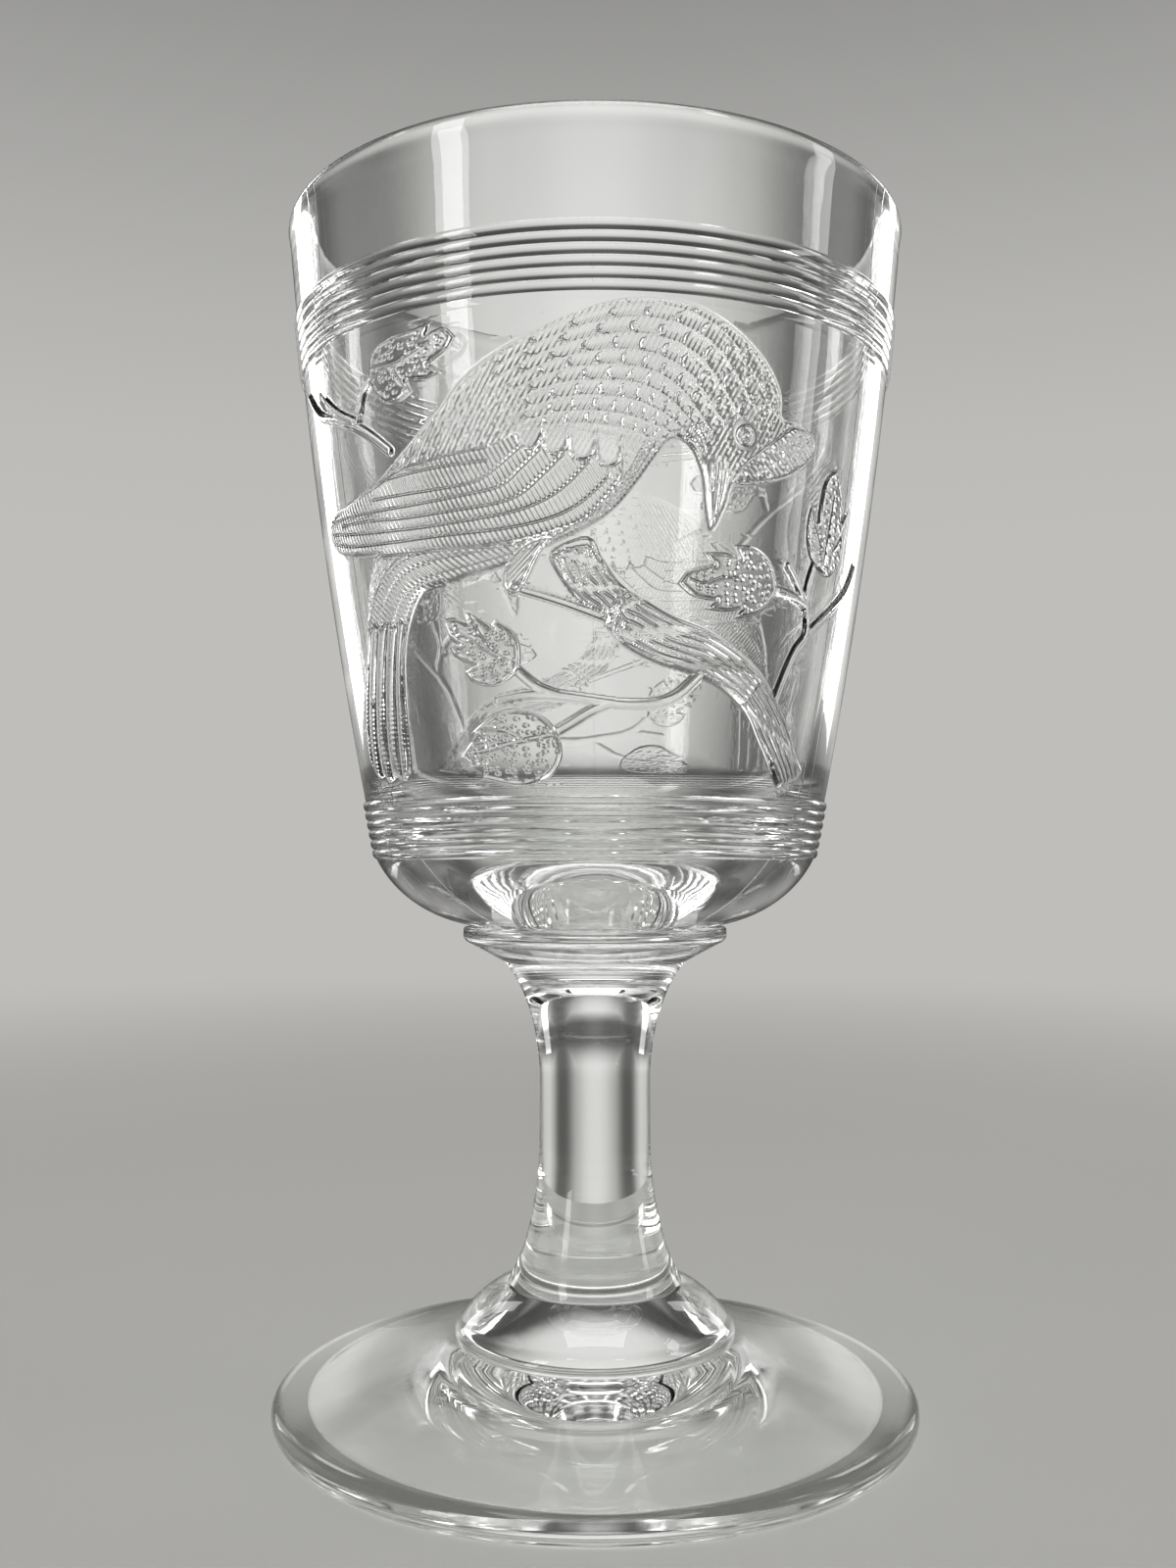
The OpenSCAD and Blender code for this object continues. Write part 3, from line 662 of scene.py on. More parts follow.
# %% Lines cut into the figure
CUTS = {
    "wing": [
        [(-13, 36.3), (-17, 34.4), (-21, 33), (-27, 32.6), (-36, 32.6), (-46, 32.8)],
        [(-9.5, 36), (-13, 34), (-17, 32.2), (-24, 31.6), (-36, 31.3), (-53, 31.7), (-63, 31.9)],
        [(-5.4, 35.4), (-9.5, 33), (-14, 31), (-21, 30.2), (-36, 30), (-48, 30.6), (-57, 31)],
        [(-1, 34.6), (-6, 31.6), (-12, 29.8), (-20, 29), (-34, 28.7), (-50, 29.4), (-62, 30.5)],
        [(2.4, 33), (-3, 30), (-9, 28.4), (-18, 27.6), (-32, 27.5), (-43, 27.7), (-55, 28.4), (-65, 29.9)],
        [(-36, 35.6), (-27, 36.1), (-19, 36.5)],
        [(-41, 34.7), (-30, 34.9), (-19, 35)],
        [(-28, 41.5), (-33, 37.5), (-37, 35.8), (-43, 34.5), (-48, 34)],
        [(-30.6, 40.4), (-36, 37.6), (-42, 35.4), (-50, 33.8)]],
    "tail": [
        [(-53.6, 18.9), (-51.6, 18.3), (-50, 18.9), (-48, 18.2), (-46.2, 18.8), (-44, 18.2), (-42, 18.7),
         (-40.4, 18.4)]],
    "head": [
        [(22, 35.2), (21.8, 31.6), (21.5, 28.6)], [(23.4, 34.2), (22.9, 31.6), (22, 29)],
        [(20.4, 35), (20.6, 31.8)], [(16, 38.6), (18.2, 37.6), (19.4, 35.8)],
        [(15.2, 37.6), (17.4, 36.8), (18.6, 35.6)], [(18, 39), (20.4, 37.4)]],
    "leaf": [
        [(-43, 46.8), (-36, 47.2), (-29, 48.6)], [(-17, 13.4), (-22, 15), (-28, 17)],
        [(-9, 5.4), (-17, 4.6), (-26, 3.6)], [(17.4, 22.4), (20.6, 22), (24, 22.7), (28, 22.9)],
        [(50, 25.8), (50.4, 30), (51, 34)], [(-38, 47.1), (-36, 45), (-34.6, 44.4)],
        [(-21, 14.6), (-23, 16.6), (-25, 18.4)], [(-15, 4.8), (-19, 6), (-24, 6)],
        [(48.6, 27.6), (46.4, 29.4), (44.6, 31.4)], [(52.6, 27.6), (55.4, 29.6), (57.8, 32)]],
    "branch": [
        [(-8, 24.4), (-4.6, 25.2), (-1.4, 25.4), (0.8, 24)],
        [(9, 20.1), (6, 19.9), (4, 18.6), (3.2, 16.8), (4.8, 15.1)],
        [(8, 20.8), (4.8, 20.4), (2.6, 18.8), (1.8, 16.9)], [(31.4, 8.8), (33, 10.2), (34.6, 11.6)]],
}
SCALLOP_OVER, SCALLOP_STEPS = 0.1, 14


def covert_path():
    """The scalloped lower edge of the short feathers that cover the wing's shoulder."""
    turns = np.linspace(SCALLOP_OVER, -math.pi - SCALLOP_OVER, SCALLOP_STEPS)
    scallop = COVERT_R * np.column_stack([np.cos(turns), np.sin(turns)])
    return np.vstack([laid_flat(tip) + scallop for tip in COVERT_TIPS])


cut_paths = {name: [smooth_curve(path) for path in paths] for name, paths in CUTS.items()}
cut_paths["wing"].append(covert_path())
print("cut lines:", {name: len(paths) for name, paths in cut_paths.items()})


# %% [markdown]
# ## Who lifts which face
# Each of the three raised motifs is a thin body of glass that is fused to the wall. The turned wall's faces
# are shared out among them: a face belongs to the motif that it lies deepest in, with a narrow margin round
# the outline. Those faces of the wall become fused joints, so that light passes straight on into the raised
# glass.

# %% Share out the wall's faces
PICTURE_COUNT, FAR_SIDE_SHARE = 2, 0.35
MARGIN_MM = 1.0
TWIG_W, SHANK_W = 1.1, 1.1
BIRD, BRANCH, LEAF = range(3)


def picture_spots(places):
    """Spots on the flat picture for places on the bowl, front and back folded onto each other."""
    turn = np.degrees(np.arctan2(places[:, 0], -places[:, 1]))
    turn = (turn + 90) % (360 / PICTURE_COUNT) - 90
    return laid_flat(np.column_stack([turn, places[:, 2] / MM - PICTURE_Z]))


def sharpness(places):
    """How crisp the picture is: in the photo the far side's shows only as faint marks."""
    return np.where(places[:, 1] < 0, 1.0, FAR_SIDE_SHARE)


def deepest_in(spots, *names):
    return np.max([depth_in(spots, outlines[name]) for name in names], 0)


def nearest_of(spots, paths):
    return np.min([distance_to(spots, path) for path in paths], 0)


def on_plain_wall(place):
    z = place.z / MM
    return WALL_Z < z < REEDS_LOW_Z and place.xy.length / MM > wall_radius(z) - WALL_T / 2


wall_faces = [face for face in bowl_mesh.faces if on_plain_wall(face.calc_center_median())]
middles = picture_spots(np.array([face.calc_center_median() for face in wall_faces]))
in_shank = SHANK_W / 2 - distance_to(middles, shank_path)
in_twigs = TWIG_W / 2 - nearest_of(middles, twig_paths)
motif_depths = np.array([
    np.maximum(deepest_in(middles, "body", "tail", "thigh"), in_shank),
    deepest_in(middles, "branch"),
    np.maximum(deepest_in(middles, *LEAVES), in_twigs)])
owner = np.where(motif_depths.max(0) > -MARGIN_MM, motif_depths.argmax(0), -1)
faces_of = [{face.index for face, mine in zip(wall_faces, owner) if mine == motif}
            for motif in (BIRD, BRANCH, LEAF)]
for face, mine in zip(wall_faces, owner):
    if mine >= 0:
        face.material_index = JOINT_SLOT
print("wall faces of bird, branch and leaves:", [len(faces) for faces in faces_of], "of", len(wall_faces))


# %% [markdown]
# ## Feather fields
# Feathers lie in rows that bend round the body. A field is stretched between a few guide lines: it tells
# each spot how far across the guides it lies and how far along them. Rows and feather edges are then simple
# patterns in those two numbers. A k-d tree finds the nearest sample of the field, and one step along its
# slopes refines the answer.

# %% Fields between guide lines
ACROSS_STEPS, ALONG_STEPS, MOST_REFINED, FLATTEST = 40, 90, 0.03, 1e-6


def through(points, t):
    """Points of smooth curves through the given ones, for shares t of the way."""
    n = len(points) - 1
    i = np.clip((t * n).astype(int), 0, n - 1)
    f = (t * n - i)[:, None, None]
    return between(*(points[np.clip(i + k, 0, n)] for k in (-1, 0, 1, 2)), f)


def crossed(first, second):
    return first[:, 0] * second[:, 1] - first[:, 1] * second[:, 0]


def field(guides, spots):
    """For each spot, its share across the guides and along them, and its distance from the field, in mm."""
    lines = np.array([laid_flat(guide) for guide in guides])
    across, along = np.linspace(0, 1, ACROSS_STEPS + 1), np.linspace(0, 1, ALONG_STEPS + 1)
    grid = through(through(lines, across).swapaxes(0, 1), along).swapaxes(0, 1)
    u_slope = np.gradient(grid, 1 / ACROSS_STEPS, axis=0).reshape(-1, 2)
    w_slope = np.gradient(grid, 1 / ALONG_STEPS, axis=1).reshape(-1, 2)
    samples = grid.reshape(-1, 2)
    tree = kdtree.KDTree(len(samples))
    for index, (x, y) in enumerate(samples):
        tree.insert((x, y, 0), index)
    tree.balance()
    near = near_box(spots, samples)
    found = np.array([tree.find((x, y, 0))[1] for x, y in spots[near]], int)
    i, j = np.divmod(found, ALONG_STEPS + 1)
    off, u, w = spots[near] - samples[found], u_slope[found], w_slope[found]
    area = crossed(u, w)
    area = np.where(np.abs(area) < FLATTEST, FLATTEST, area)
    result = np.zeros((3, len(spots)))
    result[2] = FAR_MM
    result[0, near] = across[i] + np.clip(crossed(off, w) / area, -MOST_REFINED, MOST_REFINED)
    result[1, near] = along[j] + np.clip(crossed(u, off) / area, -MOST_REFINED, MOST_REFINED)
    result[2, near] = np.hypot(*off.T)
    return result


BACK_GUIDES = [
    [(-15, 37), (-5, 37.6), (3.6, 37), (9, 36.2), (13.6, 36.6)],
    [(-23, 39.4), (-9, 43.6), (4, 44.6), (13, 43), (20, 38.4)],
    [(-34, 38.8), (-16, 47), (5, 52), (22, 50.4), (34, 42)]]
FLANK_GUIDES = [
    [(9, 36.4), (2.4, 30.2), (-8, 27), (-24, 26), (-38, 25.6), (-46, 23), (-52, 18.4)],
    [(13, 37), (6, 31.4), (-5, 26.4), (-20, 23.4), (-32, 22), (-37, 20.8), (-40.6, 18.2)]]
TAIL_GUIDES = [
    [(-40.6, 18.4), (-43, 12.6), (-44.4, 6.6), (-45.2, 0.6)],
    [(-53.6, 18.4), (-57.8, 12.6), (-61.6, 7), (-63.2, 1.6)]]
BRANCH_GUIDES = [
    [(4.4, 15), (12, 13), (22, 11.5), (31, 8.9), (38, 4.6), (44.6, 0)],
    [(8.8, 20), (15, 18.2), (23, 16.8), (33, 13.6), (42, 9.2), (53.4, 1.6)]]
STUMP_GUIDES = [
    [(-8.6, 24.6), (-5.6, 21), (0, 18), (3.4, 16)],
    [(0.6, 25.6), (2.4, 22.8), (5.4, 21.2), (9, 20)]]
print("a field has", (ACROSS_STEPS + 1) * (ALONG_STEPS + 1), "samples")


# %% [markdown]
# ## Raising the relief
# Each motif gives the wall a height. Outlines rise over a short bevel, as glass does in a mould, and swell
# towards their middle. Where motifs meet, the higher one wins. Feathers overlap like tiles, and every cut
# line is a small dip. A line is finer than the faces, so each corner also keeps its distance from the
# nearest line, with a sign that tells the two sides apart: the material finds the line where that value
# passes through zero.

# %% Shapes of a rise
BEVEL_MM = 0.5


def smooth(x):
    x = np.clip(x, 0, 1)
    return x * x * (3 - 2 * x)


def fade(value, start, width):
    """0 up to start and 1 from start + width on."""
    return smooth((value - start) / width)


def swell(depth, reach):
    """0 at the outline, 1 at the depth reach and beyond, rounded."""
    share = np.clip(depth / reach, 0, 1)
    return np.sqrt(1 - (1 - share)**2)


def cushion(depth, edge, crown, reach):
    """A bevelled edge, and a crown that swells up over the depth reach."""
    return edge * smooth(depth / BEVEL_MM) + crown * swell(depth, reach)


def rod(away, width):
    """Half a round rod along a line."""
    return np.sqrt(np.clip(1 - (2 * away / width)**2, 0, 1))


def bump_at(distance, width):
    return np.exp(-(2 * distance / width)**2)


print("half way up its bevel of", BEVEL_MM, "mm an edge has", float(smooth(0.5)), "of its height")


# %% What the picture does to the wall
CUT_HALF_W, CUT_FADE_W = 0.3, 0.15
BARB_MM = 0.55


class Relief:
    """Heights of the spots above the wall, in mm, and values that lead the material."""

    def __init__(self, spots):
        self.spots = spots
        self.height, self.lines, self.barb, self.hatch, self.stipple = np.zeros((5, len(spots)))
        self.stroke = np.full(len(spots), FAR_MM)

    def rise(self, height, where):
        self.height = np.where(where, np.maximum(self.height, height), self.height)

    def add(self, height, where):
        self.height = np.where(where, self.height + height, self.height)

    def cut(self, signed, where, strength=1.0):
        away = np.abs(signed)
        nearer = where & (away < np.abs(self.stroke))
        self.stroke = np.where(nearer, signed, self.stroke)
        self.lines = np.where(nearer, strength * (1 - fade(away, CUT_HALF_W, CUT_FADE_W)), self.lines)

    def cut_paths(self, name, where):
        for path in cut_paths[name]:
            self.cut(signed_distance(self.spots, path, cut_ends=True), where)

    def cut_rows(self, rows, row_mm, where, strength):
        self.cut((rows - np.round(rows)) * row_mm, where, strength)

    def barbs(self, direction):
        return self.spots @ direction / BARB_MM

    def texture(self, where, barb=None, hatch=0.0, stipple=0.0):
        if barb is not None:
            self.barb = np.where(where, barb, self.barb)
        self.hatch = np.where(where, hatch, self.hatch)
        self.stipple = np.where(where, stipple, self.stipple)


print("barbs are", BARB_MM, "mm apart")


# %% [markdown]
# ## Twigs and leaves
# A leaf is a thin plate with a bevelled edge, dotted all over so that it glitters, and a twig is half a
# round rod. Both could be separate solids, but then their edges would cut hard into the wall. As heights
# they grow out of it.

# %% Twigs and leaves
TWIG_H, LEAF_H = 0.4, 0.4
LEAF_EDGE, LEAF_CROWN, LEAF_CROWN_MM = 0.7, 0.3, 3
LEAF_LINE_IN, LEAF_RIM_MM, LEAF_RIM_FADE = 0.15, 0.4, 0.3
OUTLINE_REACH = 1


def raise_leaves(relief):
    for path in twig_paths:
        away = distance_to(relief.spots, path)
        relief.rise(TWIG_H * rod(away, TWIG_W), away < TWIG_W / 2)
    for name in LEAVES:
        depth = depth_in(relief.spots, outlines[name])
        within = depth > 0
        relief.rise(LEAF_H * cushion(depth, LEAF_EDGE, LEAF_CROWN, LEAF_CROWN_MM), within)
        relief.texture(within, stipple=fade(depth, LEAF_RIM_MM, LEAF_RIM_FADE))
        relief.cut(depth - LEAF_LINE_IN, np.abs(depth) < OUTLINE_REACH)
        relief.cut_paths("leaf", depth > LEAF_RIM_MM)


print(len(LEAVES), "leaves", LEAF_H, "mm high and", len(TWIGS), "twigs", TWIG_H, "mm high")


# %% [markdown]
# ## The branch
# Bark is long dashes that follow the branch. They run along a field's rows. Evenly spaced dashes would look
# like the work of a machine, so each row sways a little and starts its dashes elsewhere. The sleeve of bark
# at the knot stands out as a low ridge.

# %% The branch
BRANCH_H, BRANCH_EDGE, BRANCH_CROWN, BRANCH_CROWN_MM = 0.7, 0.45, 0.5, 2.6
BARK_ROWS, STUMP_ROWS, BARK_ROW_MM, BARK_IN = 8, 7, 0.75, 0.3
SWAY, SWAY_RATE, SWAY_SHIFT = 0.07, 21, 2.1
DASH, DASH_RATE, DASH_SHIFT = 1.1, 18, 5.3
SLEEVE_H, SLEEVE_W, SLEEVE_OFF = 0.12, 0.8, 0.5
FIELD_EDGE_MM = 0.4


def raise_branch(relief):
    depth = depth_in(relief.spots, outlines["branch"])
    within, inner = depth > 0, depth > BARK_IN
    relief.rise(BRANCH_H * cushion(depth, BRANCH_EDGE, BRANCH_CROWN, BRANCH_CROWN_MM), within)
    for guides, rows in ((BRANCH_GUIDES, BARK_ROWS), (STUMP_GUIDES, STUMP_ROWS)):
        across, along, away = field(guides, relief.spots)
        row = across * rows + SWAY * np.sin(SWAY_RATE * along + SWAY_SHIFT * np.round(across * rows))
        dashes = smooth(DASH + DASH * np.sin(DASH_RATE * along + DASH_SHIFT * np.round(row)))
        relief.cut_rows(row, BARK_ROW_MM, inner & (away < FIELD_EDGE_MM), dashes)
    relief.cut_paths("branch", within)
    sleeve = nearest_of(relief.spots, cut_paths["branch"][:2])
    relief.add(SLEEVE_H * bump_at(sleeve - SLEEVE_OFF, SLEEVE_W), inner)


print("rows of bark:", BARK_ROWS, "on the branch and", STUMP_ROWS, "on its broken end")


# %% [markdown]
# ## The bird's back
# On the back, rows of small feathers overlap like tiles. Each has a round end towards the tail and a shaded
# lower half, every other row is shifted by half a feather, and on the rump the rows dissolve into dots.
# Everything is hatched with fine barbs, which lean one way on the back and the other way on the wing, so
# that the parts glitter apart.

# %% The bird's back
BACK_ROWS, BACK_ROW_MM, BACK_FEATHERS, BACK_FEATHER_MM = 10, 1.45, 12, 3.5
FEATHER_STEP, ROUND_END, UNEVEN, UNEVEN_RATE = 0.13, 0.42, 0.14, 5.1
ROW_CUT, TIP_FROM, BACK_STIPPLE = 0.25, 0.25, 0.4
RUMP_FADE, HEAD_FADE, LOWEST_ROW_FADE, SHADE_FADE = (0.06, 0.2), (0.7, 0.15), (0.04, 0.12), (0.4, 0.3)
TOP_ROW_LOSS, LEAST_HATCH, HEAD_HATCH_LOSS = 0.5, 0.4, 0.4
BACK_BARBS, WING_BARBS, FLANK_BARBS, THIGH_BARBS = (0.87, -0.5), (0.87, 0.5), (0.6, 0.8), (1, -1)


def raise_back(relief, here, inner):
    across, along, away = field(BACK_GUIDES, relief.spots)
    here = here & (away < FIELD_EDGE_MM)
    band = across * BACK_ROWS
    row, low_part = np.floor(band), 1 - band % 1
    middle = np.sqrt(np.clip(1 - (2 * low_part - 1)**2, 0, 1))
    tip = along * BACK_FEATHERS + 0.5 * (row % 2) + UNEVEN * np.sin(UNEVEN_RATE * row) + ROUND_END * middle
    rump, head = 1 - fade(along, *RUMP_FADE), fade(along, *HEAD_FADE)
    rows = inner * (1 - TOP_ROW_LOSS * smooth(across)) * (1 - rump) * fade(across, *LOWEST_ROW_FADE)
    relief.add(rows * FEATHER_STEP * (middle - tip % 1), here)
    relief.cut_rows(band, BACK_ROW_MM, here, ROW_CUT * rows)
    relief.cut_rows(tip, BACK_FEATHER_MM, here & (low_part > TIP_FROM), rows)
    shaded = (1 - rump) * fade(low_part, *SHADE_FADE)
    hatch = inner * (LEAST_HATCH + (1 - LEAST_HATCH) * shaded) * (1 - HEAD_HATCH_LOSS * head)
    relief.texture(here, barb=relief.barbs(BACK_BARBS), hatch=hatch,
                   stipple=BACK_STIPPLE * inner * np.maximum(rump, head))


print("the back has", BACK_ROWS, "rows with about", BACK_FEATHERS, "feathers each")


# %% [markdown]
# ## Its body and tail
# The body swells like a low cushion. Its flank has a few long bands that run on into the tail, and the
# tail's long feathers are low ridges side by side, below a ragged edge.

# %% Its body and tail
BIRD_EDGE_H, BIRD_SWELL_H, BIRD_SWELL_MM, BIRD_RIM_MM = 0.28, 0.34, 7, 0.8
BODY_HATCH, BODY_STIPPLE = 0.5, 0.4
FLANK_BANDS, FLANK_BAND_MM, FLANK_EDGE_MM, FLANK_CUT, FLANK_HATCH = 3, 1.2, 0.5, 0.4, 1.2
TAIL_FEATHERS, TAIL_FEATHER_MM, TAIL_TOP_Y, TAIL_LENGTH = 5, 1.6, 18.6, 18
TAIL_RIDGE_H, TAIL_CUT, TAIL_HATCH = 0.05, 0.6, 0.25


def raise_bird(relief):
    depth = {name: depth_in(relief.spots, outlines[name]) for name in ("body", "tail", "wing")}
    bird = np.maximum(depth["body"], depth["tail"])
    within, on_wing = bird > 0, depth["wing"] > 0
    inner = smooth(bird / BIRD_RIM_MM)
    relief.rise(cushion(bird, BIRD_EDGE_H, BIRD_SWELL_H, BIRD_SWELL_MM), within)
    relief.texture(within, barb=relief.barbs(BACK_BARBS), hatch=BODY_HATCH * inner,
                   stipple=BODY_STIPPLE * inner)
    across, _, away = field(FLANK_GUIDES, relief.spots)
    here = within & (away < FLANK_EDGE_MM) & ~on_wing
    relief.cut_rows(across * FLANK_BANDS, FLANK_BAND_MM, here, FLANK_CUT * inner)
    relief.texture(here, barb=relief.barbs(FLANK_BARBS), hatch=FLANK_HATCH * inner)
    across, along, away = field(TAIL_GUIDES, relief.spots)
    here = within & (away < FIELD_EDGE_MM) & (relief.spots[:, 1] < TAIL_TOP_Y)
    ridges = np.abs(np.sin(math.pi * across * TAIL_FEATHERS))
    relief.add(inner * TAIL_RIDGE_H * (ridges - 0.5), here)
    relief.cut_rows(across * TAIL_FEATHERS, TAIL_FEATHER_MM, here, TAIL_CUT * inner)
    relief.texture(here, barb=along * TAIL_LENGTH / BARB_MM, hatch=TAIL_HATCH * inner)
    relief.cut_paths("tail", within)
    raise_back(relief, within & ~on_wing, inner)
    return within, inner, depth["wing"]


print("the flank has", FLANK_BANDS, "bands and the tail", TAIL_FEATHERS, "feathers")


# %% [markdown]
# ## Its wing
# The wing lies on the body as a step with long feathers. Four short round feathers, the coverts, lie over
# its shoulder, so the step dies out below them and they rise instead.

# %% Its wing
WING_STEP, WING_EDGE_MM, WING_HATCH, WING_LINE_TOP_Y = 0.16, 0.5, 0.9, 33
COVERT_STEP, COVERT_EDGE_MM, COVERT_HATCH = 0.14, 0.3, 0.35
COVERT_TOP_Y, COVERT_FADE_MM = 39.6, 4
STEP_DIES_X, STEP_DIES_Y = (-14, 4), (33.6, 3.4)


def covert_depth(spots, tip):
    """Depth in one short feather: a strip with a round lower end."""
    x, y = (spots - laid_flat(tip)).T
    return np.where(y < 2 * COVERT_R, COVERT_R - np.hypot(x, np.minimum(y, 0)), -FAR_MM)


def raise_wing(relief, within, inner, wing):
    on_wing = within & (wing > 0)
    coverts = np.max([covert_depth(relief.spots, tip) for tip in COVERT_TIPS], 0)
    x, y = relief.spots.T
    step = 1 - fade(x, *STEP_DIES_X) * fade(y, *STEP_DIES_Y)
    relief.add(WING_STEP * smooth(wing / WING_EDGE_MM) * step, on_wing)
    below_top = smooth((COVERT_TOP_Y - y) / COVERT_FADE_MM)
    relief.add(COVERT_STEP * smooth(coverts / COVERT_EDGE_MM) * below_top, within & (coverts > 0))
    relief.texture(on_wing, barb=relief.barbs(WING_BARBS), hatch=WING_HATCH * inner)
    relief.texture(on_wing & (coverts > 0), barb=relief.barbs(BACK_BARBS), hatch=COVERT_HATCH)
    relief.cut(-wing, within & (y < WING_LINE_TOP_Y), inner)
    relief.cut_paths("wing", within & (coverts < COVERT_EDGE_MM))


print("the wing is a step of", WING_STEP, "mm with", len(COVERT_TIPS), "coverts of", COVERT_STEP, "mm")


# %% [markdown]
# ## Its head and legs
# The head has a dotted crest over the forehead, a smooth pointed beak and a round eye in a ring. The eye
# would be lost among the barbs, so a small patch round it is left smooth. The thigh is a short round form,
# and the shank a thin rod that reaches the branch.

# %% Its head and legs
CREST_H, CREST_MM, CREST_HATCH, CREST_STIPPLE, CREST_RIM_MM = 0.2, 2.4, 0.7, 0.8, 0.4
BEAK_H, BEAK_MM = 0.22, 1.2
THIGH_H, THIGH_EDGE, THIGH_CROWN, THIGH_CROWN_MM = 0.5, 0.5, 0.5, 1.8
THIGH_RIM_MM, THIGH_LINE_IN, THIGH_CUT = 0.5, 0.1, 0.8
SHANK_H, SHANK_LINE_OFF = 0.42, 0.42
EYE_PATCH, EYE_BEAD_H, EYE_BEAD_W, EYE_DIP, EYE_DIP_AT, EYE_DIP_W = 1.9, 0.26, 0.9, 0.16, 0.75, 0.6
EYE_RINGS = (0.4, 1.05)


def raise_eye(relief):
    """A round bead in a ring, on a smooth patch of the head. Distances are in radii of the eye."""
    eye = np.hypot(*(relief.spots - laid_flat(EYE_AT)).T) / EYE_R
    patch = eye < EYE_PATCH
    relief.texture(patch)
    relief.lines = np.where(patch, 0, relief.lines)
    relief.stroke = np.where(patch, FAR_MM, relief.stroke)
    dip = EYE_DIP * bump_at(eye - EYE_DIP_AT, EYE_DIP_W)
    relief.add(EYE_BEAD_H * bump_at(eye, EYE_BEAD_W) - dip, patch)
    for ring in EYE_RINGS:
        relief.cut((eye - ring) * EYE_R, patch)


def raise_head_and_legs(relief):
    spots = relief.spots
    crest, beak, thigh = (depth_in(spots, outlines[name]) for name in ("crest", "beak", "thigh"))
    relief.add(CREST_H * swell(crest, CREST_MM), crest > 0)
    relief.texture(crest > 0, barb=relief.barbs(FLANK_BARBS), hatch=CREST_HATCH,
                   stipple=CREST_STIPPLE * smooth(crest / CREST_RIM_MM))
    relief.cut(crest, np.abs(crest) < OUTLINE_REACH)
    relief.add(BEAK_H * swell(beak, BEAK_MM), beak > 0)
    relief.texture(beak > 0)
    relief.cut_paths("head", True)
    raise_eye(relief)
    relief.rise(THIGH_H * cushion(thigh, THIGH_EDGE, THIGH_CROWN, THIGH_CROWN_MM), thigh > 0)
    relief.texture(thigh > 0, barb=relief.barbs(THIGH_BARBS), hatch=smooth(thigh / THIGH_RIM_MM))
    relief.cut(thigh - THIGH_LINE_IN, np.abs(thigh) < OUTLINE_REACH, THIGH_CUT)
    shank = distance_to(spots, shank_path)
    relief.rise(SHANK_H * rod(shank, SHANK_W), shank < SHANK_W / 2)
    relief.cut(shank - SHANK_LINE_OFF, shank < SHANK_W)


print("the eye is", 2 * EYE_R, "mm across, with", len(EYE_RINGS), "rings cut round its middle")


# %% [markdown]
# ## The whole picture
# The motifs are raised one after another, from the leaves at the back to the bird's head in front. Then
# every cut line dips into the height, and the far side of the bowl is made fainter.

# %% The whole picture
CUT_DIP, CUT_DIP_W = 0.1, 0.6


def raised_picture(places):
    relief = Relief(picture_spots(places))
    raise_leaves(relief)
    raise_branch(relief)
    raise_wing(relief, *raise_bird(relief))
    raise_head_and_legs(relief)
    dips = CUT_DIP * relief.lines * bump_at(relief.stroke, CUT_DIP_W)
    relief.height = np.maximum(relief.height - dips, 0) * sharpness(places)
    for pattern in (relief.lines, relief.hatch, relief.stipple):
        pattern *= sharpness(places)
    return relief


bird_h = round(BIRD_EDGE_H + BIRD_SWELL_H, 2)
print("leaves rise", LEAF_H, "mm, the branch", BRANCH_H, "mm, the bird's body", bird_h, "mm")


# %% [markdown]
# ## Figured glass
# The mould for the picture was cut with gravers: lines between the feathers, fine barbs on them, dots on
# the leaves, long strokes on the bark. They are finer than the faces, so the material draws them as bump,
# led by the values that the relief leaves on each corner. The lined glass is also slightly frosted, which
# is why the picture looks whiter than the plain wall.

# %% The material of the raised picture
LINE_W, LINE_DEPTH, BARB_DEPTH, PIT_DEPTH = 0.22, 0.2, 0.032, 0.18
DOT_MM, DOT_STRETCH, DOT_RANDOM, PIT_FLOOR, PIT_RIM = 1.0, (0.85, 1.35), 0.85, 0.1, 0.42
FROST, STIPPLE_FROST = 0.14, 0.5


def attribute(tree, name):
    return add_node(tree, "ShaderNodeAttribute", attribute_name=name).outputs["Fac"]


def figured_height(tree, skin):
    away = math_node(tree, "ABSOLUTE", attribute(tree, "stroke"))
    cuts = product(tree, ramp_between(tree, away, 0, LINE_W, 1, 0), attribute(tree, "lines"))
    waves = math_node(tree, "SINE", product(tree, attribute(tree, "barb"), math.tau))
    barbs = product(tree, waves, attribute(tree, "hatch"))
    dots = add_node(tree, "ShaderNodeTexVoronoi", voronoi_dimensions="2D", Scale=1 / DOT_MM,
                    Randomness=DOT_RANDOM)
    flat = add_node(tree, "ShaderNodeAttribute", attribute_name="flat")
    tree.links.new(flat.outputs["Vector"], dots.inputs["Vector"])
    hollows = ramp_between(tree, dots.outputs["Distance"], PIT_FLOOR, PIT_RIM, 1, 0)
    pits = product(tree, hollows, attribute(tree, "stipple"))
    height = math_node(tree, "SUBTRACT", skin.outputs["Height"], product(tree, cuts, LINE_DEPTH))
    height = total(tree, height, product(tree, barbs, BARB_DEPTH))
    return math_node(tree, "SUBTRACT", height, product(tree, pits, PIT_DEPTH))


def figured_roughness(tree, skin):
    dotted = product(tree, attribute(tree, "stipple"), STIPPLE_FROST)
    frost = total(tree, attribute(tree, "hatch"), dotted)
    return total(tree, skin.outputs["Roughness"], product(tree, frost, FROST))


figured_glass = glass_material("pressed_figured_glass", figured_height, figured_roughness)
print("material:", figured_glass.name)


